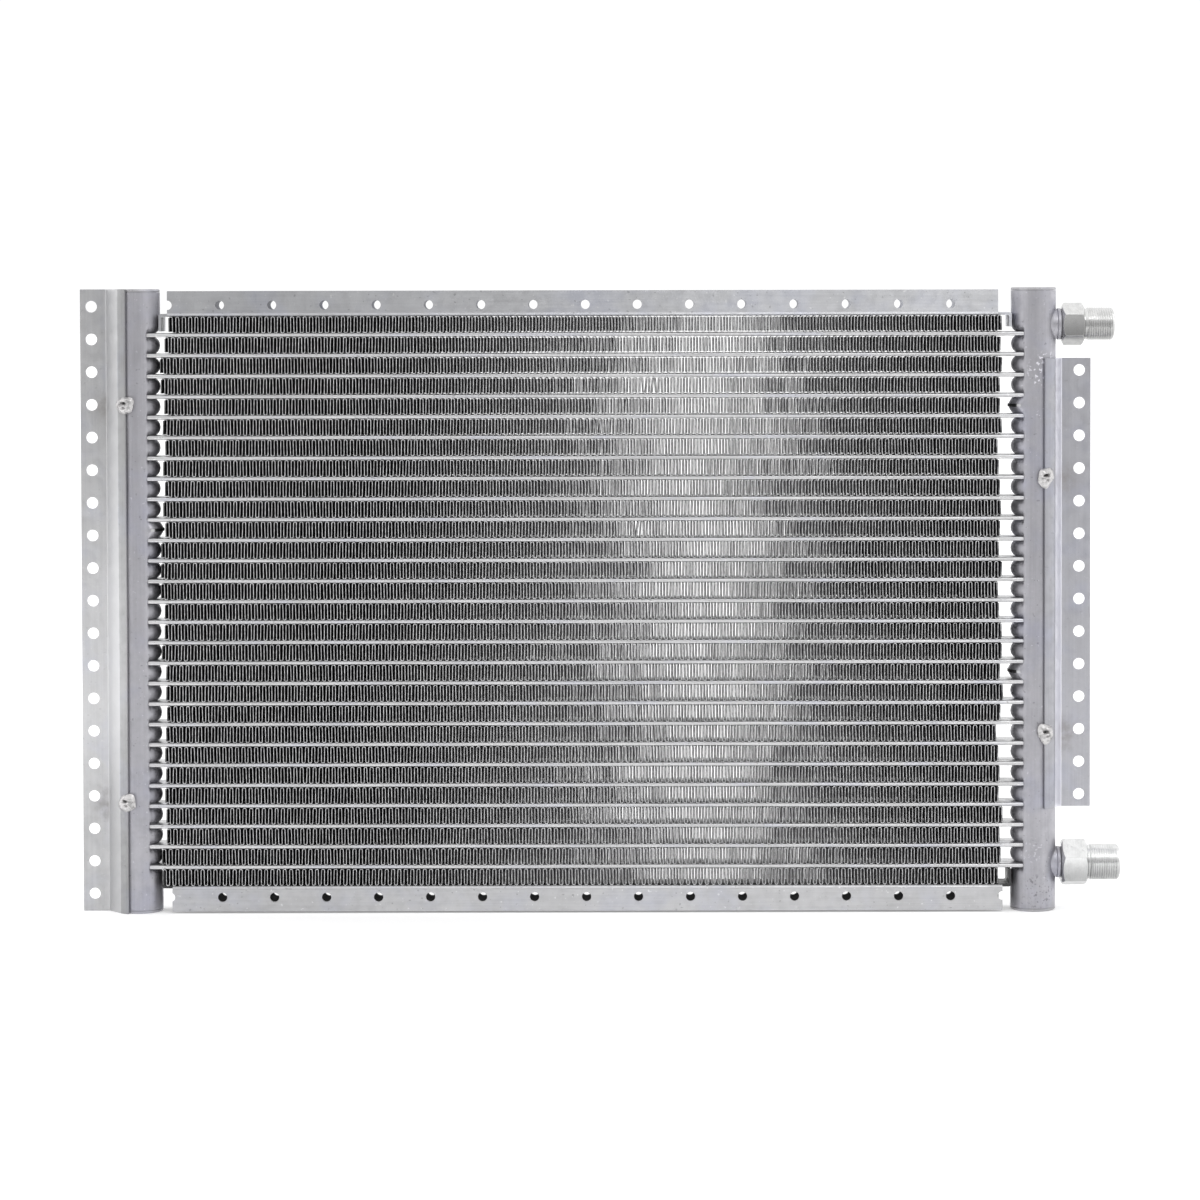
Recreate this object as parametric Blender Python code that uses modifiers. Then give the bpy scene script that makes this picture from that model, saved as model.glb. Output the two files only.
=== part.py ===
"""Air-blown hydraulic oil cooler: a brazed aluminium tube-and-fin core between two header pipes.

Units are metres, +Z is up, and -Y is the front. The origin is at the middle of the base.
Oil enters at the lower port, crosses the core in four passes and leaves at the upper port.
"""

import math

import bmesh
import bpy
from mathutils import Matrix, Vector

# Driving dimensions -----------------------------------------------------------------------

GAP = 0.0003                    # clearance left between neighbouring solids
CUT_MARGIN = 0.002              # how far a cutter runs on past what it cuts

OVERALL_HEIGHT = 0.305
HEADER_SPACING = 0.438          # between the two header axes
HEADER_RADIUS = 0.011
HEADER_WALL = 0.0015
CAP_THICKNESS = 0.0012
CAP_SPIGOT_DEPTH = 0.0035

TUBE_COUNT = 27
TUBE_PITCH = 0.010
TUBE_DEPTH = 0.018
TUBE_THICKNESS = 0.002
TUBE_END_INSIDE_HEADER = 0.0036  # from the header axis to the tube's end
CHANNEL_COUNT = 4
CHANNEL_WEB = 0.0006
CHANNEL_HEIGHT = 0.0010

FIN_START = -0.2057             # from the core's middle
FIN_END = 0.2034
FIN_FRONT = -0.009
FIN_BACK = 0.0099
FIN_TIE_WIDTH = 0.008
FIN_TIE_OFFSET = 0.120
FIN_TIE_INSET = 0.001           # from a pack's top and bottom faces
PASS_FIN_ROWS = {
    "fin_pack_outlet_pass": (0, 4),
    "fin_pack_second_return_pass": (4, 10),
    "fin_pack_first_return_pass": (10, 17),
    "fin_pack_inlet_pass": (17, 28),
}

PLATE_THICKNESS = 0.0015
PLATE_DEPTH = 0.020
PLATE_FLANGE_HEIGHT = 0.0125
PLATE_OUTER_BEND = 0.00195
PLATE_INNER_BEND = 0.0008
PLATE_TAB_BEND = 0.0012
PLATE_TONGUE_DEPTH = 0.016
PLATE_TAB_HEIGHT = 0.0075
PLATE_ENDS = {"top": (-0.2033, 0.2008), "bottom": (-0.2023, 0.2032)}
PLATE_HOLE_RADIUS = 0.00225
PLATE_HOLE_PITCH = 0.0254
PLATE_HOLES_EACH_SIDE = 8
PLATE_HOLE_DROP = 0.0069        # from the flange's free edge to the hole's centre

BRACKET_WALL = 0.0013
BRACKET_FLANGE_THICKNESS = 0.0015
BRACKET_REACH = 0.028           # from the header axis to the flange's outer edge
BRACKET_WRAP = math.radians(62)  # half of the angle that the saddle wraps
BRACKET_FILLET = 0.003
BRACKET_HOLE_OFFSET = 0.0225    # from the header axis
BRACKET_HOLE_RADIUS = 0.0028
BRACKET_HOLE_PITCH = 0.016
LEFT_BRACKET = {"bottom": 0.0, "top": 0.305, "holes": 19}
RIGHT_BRACKET = {"bottom": 0.0505, "top": 0.2705, "holes": 14}

BAFFLE_THICKNESS = 0.0015
BAFFLE_LIP_REACH = 0.0127       # from the header axis to the lip that shows outside
BAFFLE_LIP_ANGLE = math.radians(54)
BAFFLE_SLOT_START = 0.0051      # from the header axis
BAFFLE_HEIGHTS = {"left_baffle": 0.1875, "right_upper_baffle": 0.2475, "right_lower_baffle": 0.1175}

PORT_BORE_RADIUS = 0.0050
BOSS_RADIUS = 0.0077
BOSS_FLARE = 0.0009
BOSS_FACE = 0.0134              # from the header axis to the boss's outer face
BOSS_NECK_LENGTH = 0.0010       # straight stretch behind the face
BOSS_FLARE_LENGTH = 0.0014      # from the neck to the full flare
BOSS_ROOT = 0.0060              # from the header axis, inside the pipe's wall
SEAL_SECTION_RADIUS = 0.0005
SEAL_RING_RADIUS = 0.0054
SEAL_POCKET_RADIUS = 0.0062
SEAL_POCKET_DEPTH = 0.0014
SPIGOT_RADIUS = 0.0046
SPIGOT_START = 0.0116
SPIGOT_LENGTH = 0.0031
# A port's turn is how far its hexagon's top corner leans to the front, in degrees.
PORTS = {
    "upper": {
        "height": 0.2870, "across_flats": 0.018, "hex_end": 0.0247, "tip": 0.0388,
        "thread_radius": 0.0080, "bore_radius": 0.0035, "mouth_radius": 0.0054, "turn": 2.4,
    },
    "lower": {
        "height": 0.0230, "across_flats": 0.021, "hex_end": 0.0264, "tip": 0.0420,
        "thread_radius": 0.0089, "bore_radius": 0.0040, "mouth_radius": 0.0064, "turn": 13.0,
    },
}
THREAD_RELIEF = 0.0009
THREAD_RELIEF_LENGTH = 0.0015
CHAMFER = 0.0009
CROWN_INSET = 0.0004            # from the flats to the flat face of the hexagon's crown
CROWN_ANGLE = math.radians(30)
MOUTH_ANGLE = math.radians(12)  # half of the cone that opens each port's bore

WELD_RADIUS = 0.0040
WELD_HEIGHT = 0.0018
WELD_SINK = 0.0006              # how far a weld's middle sits below its bracket's surface
WELD_OVERLAP = math.radians(4)  # from the lip's edge back over the saddle
LIP_CLEARANCE = math.radians(2)
WELD_HEIGHTS = {"left": (0.2485, 0.0545), "right": (0.2125, 0.0875)}

PIPE_SEGMENTS = 20
CUTTER_SEGMENTS = 48
HOLE_SEGMENTS = 8
NOSE_STEPS = 3

# Places worked out from the driving dimensions --------------------------------------------

PORT_REACH = PORTS["lower"]["tip"]
CORE_X = (BRACKET_REACH - PORT_REACH) / 2
CORE_Z = OVERALL_HEIGHT / 2
HEADER_X = {"left": CORE_X - HEADER_SPACING / 2, "right": CORE_X + HEADER_SPACING / 2}
TO_CORE = {"left": 1, "right": -1}
INNER_RADIUS = HEADER_RADIUS - HEADER_WALL
PIPE_BOTTOM = CAP_THICKNESS + GAP
PIPE_TOP = OVERALL_HEIGHT - PIPE_BOTTOM
TOP_TUBE_Z = CORE_Z + TUBE_PITCH * (TUBE_COUNT - 1) / 2
WEB_INNER = TUBE_PITCH * (TUBE_COUNT + 1) / 2 - TUBE_THICKNESS / 2


# Scene helpers ----------------------------------------------------------------------------

def clear_scene():
    for old in list(bpy.data.objects):
        bpy.data.objects.remove(old, do_unlink=True)
    for old in list(bpy.data.collections):
        bpy.data.collections.remove(old)


def new_collection(name):
    collection = bpy.data.collections.new(name)
    bpy.context.scene.collection.children.link(collection)
    return collection


def new_material(name, colour, roughness, metallic):
    material = bpy.data.materials.new(name)
    material.use_nodes = True
    shader = material.node_tree.nodes["Principled BSDF"]
    shader.inputs["Base Color"].default_value = (*colour, 1.0)
    shader.inputs["Roughness"].default_value = roughness
    shader.inputs["Metallic"].default_value = metallic
    material.diffuse_color = (*colour, 1.0)
    return material


def add_part(name, mesh, material):
    part = bpy.data.objects.new(name, mesh)
    parts.objects.link(part)
    if material.name not in mesh.materials:
        mesh.materials.append(material)
    return part


def add_cutter(name, mesh):
    cutter = bpy.data.objects.new(name, mesh)
    cutters.objects.link(cutter)
    cutter.hide_render = True
    cutter.display_type = "WIRE"
    return cutter


def boolean(part, other, operation="DIFFERENCE"):
    modifier = part.modifiers.new(operation.lower() + "_" + other.name, "BOOLEAN")
    modifier.operation = operation
    modifier.solver = "EXACT"
    modifier.object = other


def shade_round(mesh):
    mesh.shade_smooth()
    mesh.set_sharp_from_angle(angle=math.radians(35))


# Shapes -----------------------------------------------------------------------------------

def boxes_mesh(name, boxes):
    """One mesh of boxes, each given by its low and high corners."""
    shape = bmesh.new()
    for low, high in boxes:
        size = Vector(high) - Vector(low)
        middle = (Vector(high) + Vector(low)) / 2
        place = Matrix.Translation(middle) @ Matrix.Diagonal((*size, 1))
        bmesh.ops.create_cube(shape, size=1, matrix=place)
    mesh = bpy.data.meshes.new(name)
    shape.to_mesh(mesh)
    shape.free()
    return mesh


def rods_mesh(name, radius, length, centres, turn, segments):
    """One mesh of equal round rods along Z, turned by a matrix and put at their centres."""
    shape = bmesh.new()
    for centre in centres:
        bmesh.ops.create_cone(
            shape, cap_ends=True, segments=segments, radius1=radius, radius2=radius,
            depth=length, matrix=Matrix.Translation(centre) @ turn,
        )
    mesh = bpy.data.meshes.new(name)
    shape.to_mesh(mesh)
    shape.free()
    return mesh


def pipe_rod(name, radius, length):
    """A fine round rod along Z, to cut a piece to the outside of a header."""
    return rods_mesh(name, radius, length, [(0, 0, 0)], Matrix.Identity(4), CUTTER_SEGMENTS)


def profile_mesh(name, profile, closed):
    """A wire of (radius, height) points in the XZ plane, ready for a Screw modifier."""
    count = len(profile)
    edges = [(i, i + 1) for i in range(count - 1)]
    if closed:
        edges.append((count - 1, 0))
    mesh = bpy.data.meshes.new(name)
    mesh.from_pydata([(radius, 0, height) for radius, height in profile], edges, [])
    return mesh


def turn_profile(part, segments):
    screw = part.modifiers.new("turned", "SCREW")
    screw.angle = math.tau
    screw.steps = segments
    screw.render_steps = segments
    screw.use_merge_vertices = True
    screw.merge_threshold = 0.00001
    screw.use_smooth_shade = True


def arc(centre_x, centre_y, radius, start, end, steps):
    """Points along a round stretch of an outline, both ends included."""
    points = []
    for i in range(steps + 1):
        angle = start + (end - start) * i / steps
        points.append((centre_x + radius * math.cos(angle), centre_y + radius * math.sin(angle)))
    return points


def extrude_outline(name, loops, length):
    """A flat outline in XY, the first loop with the others as holes, extruded evenly along Z."""
    curve = bpy.data.curves.new(name + "_outline", "CURVE")
    curve.dimensions = "2D"
    curve.fill_mode = "BOTH"
    curve.extrude = length / 2
    for loop in loops:
        spline = curve.splines.new("POLY")
        spline.points.add(len(loop) - 1)
        for point, (x, y) in zip(spline.points, loop):
            point.co = (x, y, 0, 1)
        spline.use_cyclic_u = True
    guide = bpy.data.objects.new(name + "_outline", curve)
    cutters.objects.link(guide)
    depsgraph = bpy.context.evaluated_depsgraph_get()
    mesh = bpy.data.meshes.new_from_object(guide.evaluated_get(depsgraph))
    mesh.name = name
    bpy.data.objects.remove(guide, do_unlink=True)
    shape = bmesh.new()
    shape.from_mesh(mesh)
    bmesh.ops.remove_doubles(shape, verts=shape.verts, dist=0.000001)
    bmesh.ops.recalc_face_normals(shape, faces=shape.faces)
    shape.to_mesh(mesh)
    shape.free()
    return mesh


def rectangle(low_x, low_y, high_x, high_y):
    return [(low_x, low_y), (high_x, low_y), (high_x, high_y), (low_x, high_y)]


# The core: flat tubes and fin packs -------------------------------------------------------

def make_tubes(material):
    """Multi-channel flat tubes, running along X from inside one header to inside the other."""
    nose = TUBE_THICKNESS / 2
    reach = TUBE_DEPTH / 2 - nose
    outline = arc(reach, 0, nose, -math.pi / 2, math.pi / 2, NOSE_STEPS)
    outline += arc(-reach, 0, nose, math.pi / 2, 3 * math.pi / 2, NOSE_STEPS)
    channel = (2 * reach - CHANNEL_WEB * (CHANNEL_COUNT - 1)) / CHANNEL_COUNT
    loops = [outline]
    for i in range(CHANNEL_COUNT):
        low = -reach + i * (channel + CHANNEL_WEB)
        loops.append(rectangle(low, -CHANNEL_HEIGHT / 2, low + channel, CHANNEL_HEIGHT / 2))
    length = HEADER_SPACING - 2 * TUBE_END_INSIDE_HEADER
    mesh = extrude_outline("flat_tube", loops, length)
    mesh.transform(Matrix(((0, 0, 1, 0), (1, 0, 0, 0), (0, 1, 0, 0), (0, 0, 0, 1))))
    for i in range(TUBE_COUNT):
        tube = add_part(f"tube_{i + 1:02d}", mesh, material)
        tube.location = (CORE_X, 0, TOP_TUBE_Z - i * TUBE_PITCH)


def make_fin_packs(material):
    """Each pass's fin rows as plain slabs between the tubes, tied by two strips behind them."""
    row_height = TUBE_PITCH - TUBE_THICKNESS - 2 * GAP
    top_row_z = TOP_TUBE_Z + TUBE_PITCH / 2
    for name, (first, last) in PASS_FIN_ROWS.items():
        slabs = []
        for row in range(first, last):
            low = top_row_z - row * TUBE_PITCH - row_height / 2
            slabs.append(((FIN_START, FIN_FRONT, low), (FIN_END, FIN_BACK, low + row_height)))
        bottom = slabs[-1][0][2]
        top = slabs[0][1][2]
        ties = []
        for x in (-FIN_TIE_OFFSET, FIN_TIE_OFFSET):
            low = (x - FIN_TIE_WIDTH / 2, TUBE_DEPTH / 2 + GAP, bottom + FIN_TIE_INSET)
            ties.append((low, (x + FIN_TIE_WIDTH / 2, FIN_BACK, top - FIN_TIE_INSET)))
        pack = add_part(name, boxes_mesh(name, slabs), material)
        pack.location.x = CORE_X
        tie = add_cutter(name + "_ties", boxes_mesh(name + "_ties", ties))
        tie.location.x = CORE_X
        boolean(pack, tie, "UNION")


# Headers, end caps and baffles ------------------------------------------------------------

def make_header(side, material):
    """A round pipe with a slot for each tube, one for each baffle and a hole for each port."""
    name = "header_" + side
    profile = [
        (HEADER_RADIUS, PIPE_TOP), (HEADER_RADIUS, PIPE_BOTTOM),
        (INNER_RADIUS, PIPE_BOTTOM), (INNER_RADIUS, PIPE_TOP),
    ]
    header = add_part(name, profile_mesh(name, profile, True), material)
    header.location.x = HEADER_X[side]
    turn_profile(header, PIPE_SEGMENTS)

    core = TO_CORE[side]
    slot_start = TUBE_END_INSIDE_HEADER - GAP
    slot_end = HEADER_RADIUS + CUT_MARGIN
    slots = []
    for i in range(TUBE_COUNT):
        middle = TOP_TUBE_Z - i * TUBE_PITCH
        half = TUBE_THICKNESS / 2 + GAP
        low_x, high_x = sorted((core * slot_start, core * slot_end))
        depth = TUBE_DEPTH / 2 + GAP
        slots.append(((low_x, -depth, middle - half), (high_x, depth, middle + half)))
    for baffle, height in BAFFLE_HEIGHTS.items():
        if baffle.startswith(side):
            half = BAFFLE_THICKNESS / 2 + GAP
            low_x, high_x = sorted((core * BAFFLE_SLOT_START, core * slot_end))
            slots.append(((low_x, -slot_end, height - half), (high_x, slot_end, height + half)))
    slot_cutter = add_cutter(name + "_slots", boxes_mesh(name + "_slots", slots))
    slot_cutter.location.x = HEADER_X[side]
    boolean(header, slot_cutter)

    if side == "right":
        centres = [(HEADER_RADIUS, 0, port["height"]) for port in PORTS.values()]
        across = Matrix.Rotation(math.pi / 2, 4, "Y")
        length = 4 * CUT_MARGIN
        holes = rods_mesh("port_holes", PORT_BORE_RADIUS, length, centres, across, PIPE_SEGMENTS)
        port_cutter = add_cutter("port_holes", holes)
        port_cutter.location.x = HEADER_X[side]
        boolean(header, port_cutter)


def make_end_caps(side, material):
    """A thin lid with a rounded rim, and a spigot that centres it in the pipe."""
    spigot = INNER_RADIUS - GAP
    rim = CAP_THICKNESS / 2
    profile = [(0, CAP_THICKNESS)]
    profile += [
        (HEADER_RADIUS - rim + rim * math.sin(a), CAP_THICKNESS - rim + rim * math.cos(a))
        for a in (0, math.pi / 4, math.pi / 2)
    ]
    profile += [
        (HEADER_RADIUS, 0), (spigot, 0), (spigot, -CAP_SPIGOT_DEPTH), (0, -CAP_SPIGOT_DEPTH),
    ]
    mesh = profile_mesh("end_cap", profile, False)
    top = add_part(side + "_top_cap", mesh, material)
    top.location = (HEADER_X[side], 0, OVERALL_HEIGHT - CAP_THICKNESS)
    bottom = add_part(side + "_bottom_cap", mesh, material)
    bottom.location = (HEADER_X[side], 0, CAP_THICKNESS)
    bottom.rotation_euler.x = math.pi
    for cap in (top, bottom):
        turn_profile(cap, PIPE_SEGMENTS)


def make_baffle(name, side, height, material):
    """A disc that splits the header, with a lip that stands out through the pipe's slot."""
    disc = INNER_RADIUS - GAP
    facing = 0 if side == "left" else math.pi
    lip = arc(0, 0, BAFFLE_LIP_REACH, facing - BAFFLE_LIP_ANGLE, facing + BAFFLE_LIP_ANGLE, 8)
    rest_start = facing + BAFFLE_LIP_ANGLE
    rest_end = facing + math.tau - BAFFLE_LIP_ANGLE
    rest = arc(0, 0, disc, rest_start, rest_end, 16)
    mesh = extrude_outline(name, [lip + rest], BAFFLE_THICKNESS)
    baffle = add_part(name, mesh, material)
    baffle.location = (HEADER_X[side], 0, height)


# Side plates ------------------------------------------------------------------------------

def make_side_plate(level, material):
    """A channel that closes the core, perforated along both flanges, with a tab at each end."""
    name = level + "_side_plate"
    up = 1 if level == "top" else -1
    low_x, high_x = PLATE_ENDS[level]
    half = PLATE_DEPTH / 2
    thick = PLATE_THICKNESS
    outer = PLATE_OUTER_BEND
    inner = PLATE_INNER_BEND
    web = WEB_INNER
    edge = WEB_INNER + PLATE_FLANGE_HEIGHT
    quarter = math.pi / 2
    outline = [(-half, edge)]
    outline += arc(-half + outer, web + outer, outer, 2 * quarter, 3 * quarter, 3)
    outline += arc(half - outer, web + outer, outer, 3 * quarter, 4 * quarter, 3)
    outline += [(half, edge), (half - thick, edge)]
    outline += arc(half - thick - inner, web + thick + inner, inner, 0, -quarter, 2)
    outline += arc(-half + thick + inner, web + thick + inner, inner, -quarter, -2 * quarter, 2)
    outline += [(-half + thick, edge)]
    mesh = extrude_outline(name, [outline], high_x - low_x)
    mesh.transform(Matrix(((0, 0, 1, (low_x + high_x) / 2), (1, 0, 0, 0), (0, 1, 0, 0), (0, 0, 0, 1))))

    tab_face = HEADER_SPACING / 2 - HEADER_RADIUS - GAP
    bend = PLATE_TAB_BEND
    tab_low = web - PLATE_TAB_HEIGHT
    tongue = [(-tab_face, tab_low), (-tab_face + thick, tab_low), (-tab_face + thick, web)]
    tongue += [(tab_face - thick, web), (tab_face - thick, tab_low), (tab_face, tab_low)]
    tongue += arc(tab_face - bend, web + thick - bend, bend, 0, quarter, 3)
    tongue += arc(-tab_face + bend, web + thick - bend, bend, quarter, 2 * quarter, 3)
    tongue_mesh = extrude_outline(name + "_tongue", [tongue], PLATE_TONGUE_DEPTH)
    tongue_mesh.transform(Matrix(((1, 0, 0, 0), (0, 0, -1, 0), (0, 1, 0, 0), (0, 0, 0, 1))))

    plate = add_part(name, mesh, material)
    tongue_part = add_cutter(name + "_tongue", tongue_mesh)
    boolean(plate, tongue_part, "UNION")

    hole_z = edge - PLATE_HOLE_DROP
    steps = range(-PLATE_HOLES_EACH_SIDE, PLATE_HOLES_EACH_SIDE + 1)
    centres = [(k * PLATE_HOLE_PITCH, 0, hole_z) for k in steps]
    through = Matrix.Rotation(quarter, 4, "X")
    length = PLATE_DEPTH + 2 * CUT_MARGIN
    holes = rods_mesh(name + "_holes", PLATE_HOLE_RADIUS, length, centres, through, HOLE_SEGMENTS)
    hole_cutter = add_cutter(name + "_holes", holes)
    boolean(plate, hole_cutter)

    for piece in (plate, tongue_part, hole_cutter):
        piece.location = (CORE_X, 0, CORE_Z)
        piece.rotation_euler.x = 0 if up > 0 else math.pi


# Mounting brackets ------------------------------------------------------------------------

def bracket_outline():
    """The section of the right bracket about its header axis, with the flange towards +X."""
    inner = HEADER_RADIUS + GAP
    outer = inner + BRACKET_WALL
    half = BRACKET_FLANGE_THICKNESS / 2
    fillet_x = math.sqrt((outer + BRACKET_FILLET) ** 2 - (half + BRACKET_FILLET) ** 2)
    fillet_y = half + BRACKET_FILLET
    meet = math.atan2(fillet_y, fillet_x)
    outline = arc(0, 0, inner, BRACKET_WRAP, -BRACKET_WRAP, 12)
    outline += arc(0, 0, outer, -BRACKET_WRAP, -meet, 6)
    outline += arc(fillet_x, -fillet_y, BRACKET_FILLET, math.pi - meet, math.pi / 2, 3)[1:]
    outline += [(BRACKET_REACH, -half), (BRACKET_REACH, half)]
    outline += arc(fillet_x, fillet_y, BRACKET_FILLET, -math.pi / 2, meet - math.pi, 3)
    outline += arc(0, 0, outer, meet, BRACKET_WRAP, 6)[1:]
    return outline


def make_bracket(side, sizes, material):
    """An extruded saddle and flange, with a row of holes through the flange."""
    name = side + "_bracket"
    height = sizes["top"] - sizes["bottom"]
    middle = (sizes["top"] + sizes["bottom"]) / 2
    mesh = extrude_outline(name, [bracket_outline()], height)
    bracket = add_part(name, mesh, material)
    first = -BRACKET_HOLE_PITCH * (sizes["holes"] - 1) / 2
    centres = [
        (BRACKET_HOLE_OFFSET, 0, first + i * BRACKET_HOLE_PITCH) for i in range(sizes["holes"])
    ]
    through = Matrix.Rotation(math.pi / 2, 4, "X")
    length = BRACKET_FLANGE_THICKNESS + 2 * CUT_MARGIN
    holes = rods_mesh(name + "_holes", BRACKET_HOLE_RADIUS, length, centres, through, HOLE_SEGMENTS)
    hole_cutter = add_cutter(name + "_holes", holes)
    boolean(bracket, hole_cutter)
    for piece in (bracket, hole_cutter):
        piece.location = (HEADER_X[side], 0, middle)
        piece.rotation_euler.z = 0 if side == "right" else math.pi
    shade_round(mesh)


def make_tack_welds(side, material):
    """Flattened beads that tack both lips of a bracket's saddle to its header."""
    outward = -TO_CORE[side]
    lip_angle = math.pi / 2 - BRACKET_WRAP
    bare = HEADER_RADIUS + GAP
    covered = bare + BRACKET_WALL + GAP
    length = 3 * WELD_RADIUS
    for i, height in enumerate(WELD_HEIGHTS[side]):
        for face, front in (("front", -1), ("back", 1)):
            name = f"{side}_{face}_weld_{i + 1}"
            shape = bmesh.new()
            bmesh.ops.create_uvsphere(shape, u_segments=8, v_segments=6, radius=1)
            mesh = bpy.data.meshes.new(name)
            shape.to_mesh(mesh)
            shape.free()
            angle = lip_angle - WELD_OVERLAP
            radial = Vector((outward * math.sin(angle), front * math.cos(angle), 0))
            along = Vector((0, 0, 1))
            sideways = radial.cross(along)
            turn = Matrix((radial, sideways, along)).transposed().to_4x4()
            size = Matrix.Diagonal((WELD_HEIGHT, WELD_RADIUS, WELD_RADIUS, 1))
            mesh.transform(turn @ size)
            weld = add_part(name, mesh, material)
            weld.location = Vector((HEADER_X[side], 0, height)) + radial * (covered - WELD_SINK)

            pipe = pipe_rod(name + "_pipe", bare, length)
            pipe_cutter = add_cutter(name + "_pipe", pipe)
            sector_start = BRACKET_WRAP + LIP_CLEARANCE
            sector = [(0, 0)] + arc(0, 0, covered, -sector_start, sector_start, 24)
            lip_cutter = add_cutter(name + "_lip", extrude_outline(name + "_lip", [sector], length))
            lip_cutter.rotation_euler.z = 0 if side == "right" else math.pi
            for cutter in (pipe_cutter, lip_cutter):
                cutter.location = (HEADER_X[side], 0, height)
                boolean(weld, cutter)


# Ports ------------------------------------------------------------------------------------

def along_x(part, height):
    """Stand a piece that was turned about Z along +X, out of the right header."""
    part.location = (HEADER_X["right"], 0, height)
    part.rotation_euler = (0, math.pi / 2, 0)


def make_boss(level, port, material):
    """A flared neck on the header, with a pocket for the seal in its face."""
    name = level + "_port_boss"
    pocket = BOSS_FACE - SEAL_POCKET_DEPTH
    neck = BOSS_FACE - BOSS_NECK_LENGTH
    flare = BOSS_RADIUS + BOSS_FLARE
    flare_start = neck - BOSS_FLARE_LENGTH
    profile = [
        (SEAL_POCKET_RADIUS, BOSS_FACE), (BOSS_RADIUS, BOSS_FACE), (BOSS_RADIUS, neck),
        (BOSS_RADIUS + BOSS_FLARE * 0.4, neck - BOSS_FLARE_LENGTH * 0.4),
        (flare, flare_start), (flare, BOSS_ROOT), (PORT_BORE_RADIUS, BOSS_ROOT),
        (PORT_BORE_RADIUS, pocket), (SEAL_POCKET_RADIUS, pocket),
    ]
    boss = add_part(name, profile_mesh(name, profile, True), material)
    turn_profile(boss, PIPE_SEGMENTS)
    along_x(boss, port["height"])
    pipe = pipe_rod(name + "_pipe", HEADER_RADIUS + GAP, 4 * BOSS_RADIUS)
    cutter = add_cutter(name + "_pipe", pipe)
    cutter.location = (HEADER_X["right"], 0, port["height"])
    boolean(boss, cutter)


def make_seal(level, port, material):
    """The O-ring in the boss's pocket."""
    section = arc(SEAL_RING_RADIUS, 0, SEAL_SECTION_RADIUS, math.pi / 2, -3 * math.pi / 2, 6)[:-1]
    name = level + "_port_seal"
    seal = add_part(name, profile_mesh(name, section, True), material)
    turn_profile(seal, 12)
    along_x(seal, port["height"])
    seal.location.x += BOSS_FACE - SEAL_POCKET_DEPTH / 2


def make_adapter(level, port, material):
    """The union screwed to the boss: spigot, hexagon, male thread and a coned bore."""
    name = level + "_port_adapter"
    face = BOSS_FACE + GAP
    thread = port["thread_radius"]
    relief = thread - THREAD_RELIEF
    relief_end = port["hex_end"] + THREAD_RELIEF_LENGTH
    tip = port["tip"]
    body_start = SPIGOT_START + SPIGOT_LENGTH
    profile = [
        (0, tip), (thread - CHAMFER, tip), (thread, tip - CHAMFER),
        (thread, relief_end + CHAMFER), (relief, relief_end), (relief, body_start),
        (SPIGOT_RADIUS, body_start), (SPIGOT_RADIUS, SPIGOT_START), (0, SPIGOT_START),
    ]
    adapter = add_part(name, profile_mesh(name, profile, False), material)
    turn_profile(adapter, PIPE_SEGMENTS)

    flats = port["across_flats"] / 2
    corners = flats / math.cos(math.pi / 6)
    hex_length = port["hex_end"] - face
    middle = face + hex_length / 2
    first_corner = math.radians(port["turn"]) - math.pi / 6
    turn = Matrix.Rotation(first_corner, 4, "Z")
    hexagon = rods_mesh(name + "_hex", corners, hex_length, [(0, 0, middle)], turn, 6)
    hex_cutter = add_cutter(name + "_hex", hexagon)
    crown_face = flats - CROWN_INSET
    crown_rim = corners + CROWN_INSET
    drop = (crown_rim - crown_face) * math.tan(CROWN_ANGLE)
    crown = [
        (0, port["hex_end"]), (crown_face, port["hex_end"]), (crown_rim, port["hex_end"] - drop),
        (crown_rim, face + drop), (crown_face, face), (0, face),
    ]
    crown_cutter = add_cutter(name + "_crown", profile_mesh(name + "_crown", crown, False))
    turn_profile(crown_cutter, PIPE_SEGMENTS)
    boolean(hex_cutter, crown_cutter, "INTERSECT")
    boolean(adapter, hex_cutter, "UNION")

    mouth = port["mouth_radius"]
    bore = port["bore_radius"]
    cone_depth = (mouth - bore) / math.tan(MOUTH_ANGLE)
    bore_profile = [
        (0, tip + CUT_MARGIN), (mouth, tip + CUT_MARGIN), (mouth, tip), (bore, tip - cone_depth),
        (bore, SPIGOT_START - CUT_MARGIN), (0, SPIGOT_START - CUT_MARGIN),
    ]
    bore_cutter = add_cutter(name + "_bore", profile_mesh(name + "_bore", bore_profile, False))
    turn_profile(bore_cutter, PIPE_SEGMENTS)
    boolean(adapter, bore_cutter)
    for piece in (adapter, hex_cutter, crown_cutter, bore_cutter):
        along_x(piece, port["height"])


# Assembly ---------------------------------------------------------------------------------

clear_scene()
parts = new_collection("hydraulic_oil_cooler")
cutters = new_collection("cutters")

header_aluminium = new_material("header_aluminium", (0.42, 0.42, 0.45), 0.55, 0.75)
plate_aluminium = new_material("plate_aluminium", (0.50, 0.50, 0.52), 0.50, 0.80)
bracket_aluminium = new_material("bracket_aluminium", (0.50, 0.50, 0.53), 0.45, 0.80)
tube_aluminium = new_material("tube_aluminium", (0.66, 0.66, 0.67), 0.35, 0.90)
fin_aluminium = new_material("fin_aluminium", (0.55, 0.55, 0.56), 0.45, 0.85)
weld_aluminium = new_material("weld_aluminium", (0.45, 0.44, 0.45), 0.60, 0.70)
machined_metal = new_material("machined_metal", (0.62, 0.61, 0.58), 0.28, 1.00)
seal_rubber = new_material("seal_rubber", (0.02, 0.02, 0.02), 0.70, 0.00)

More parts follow.
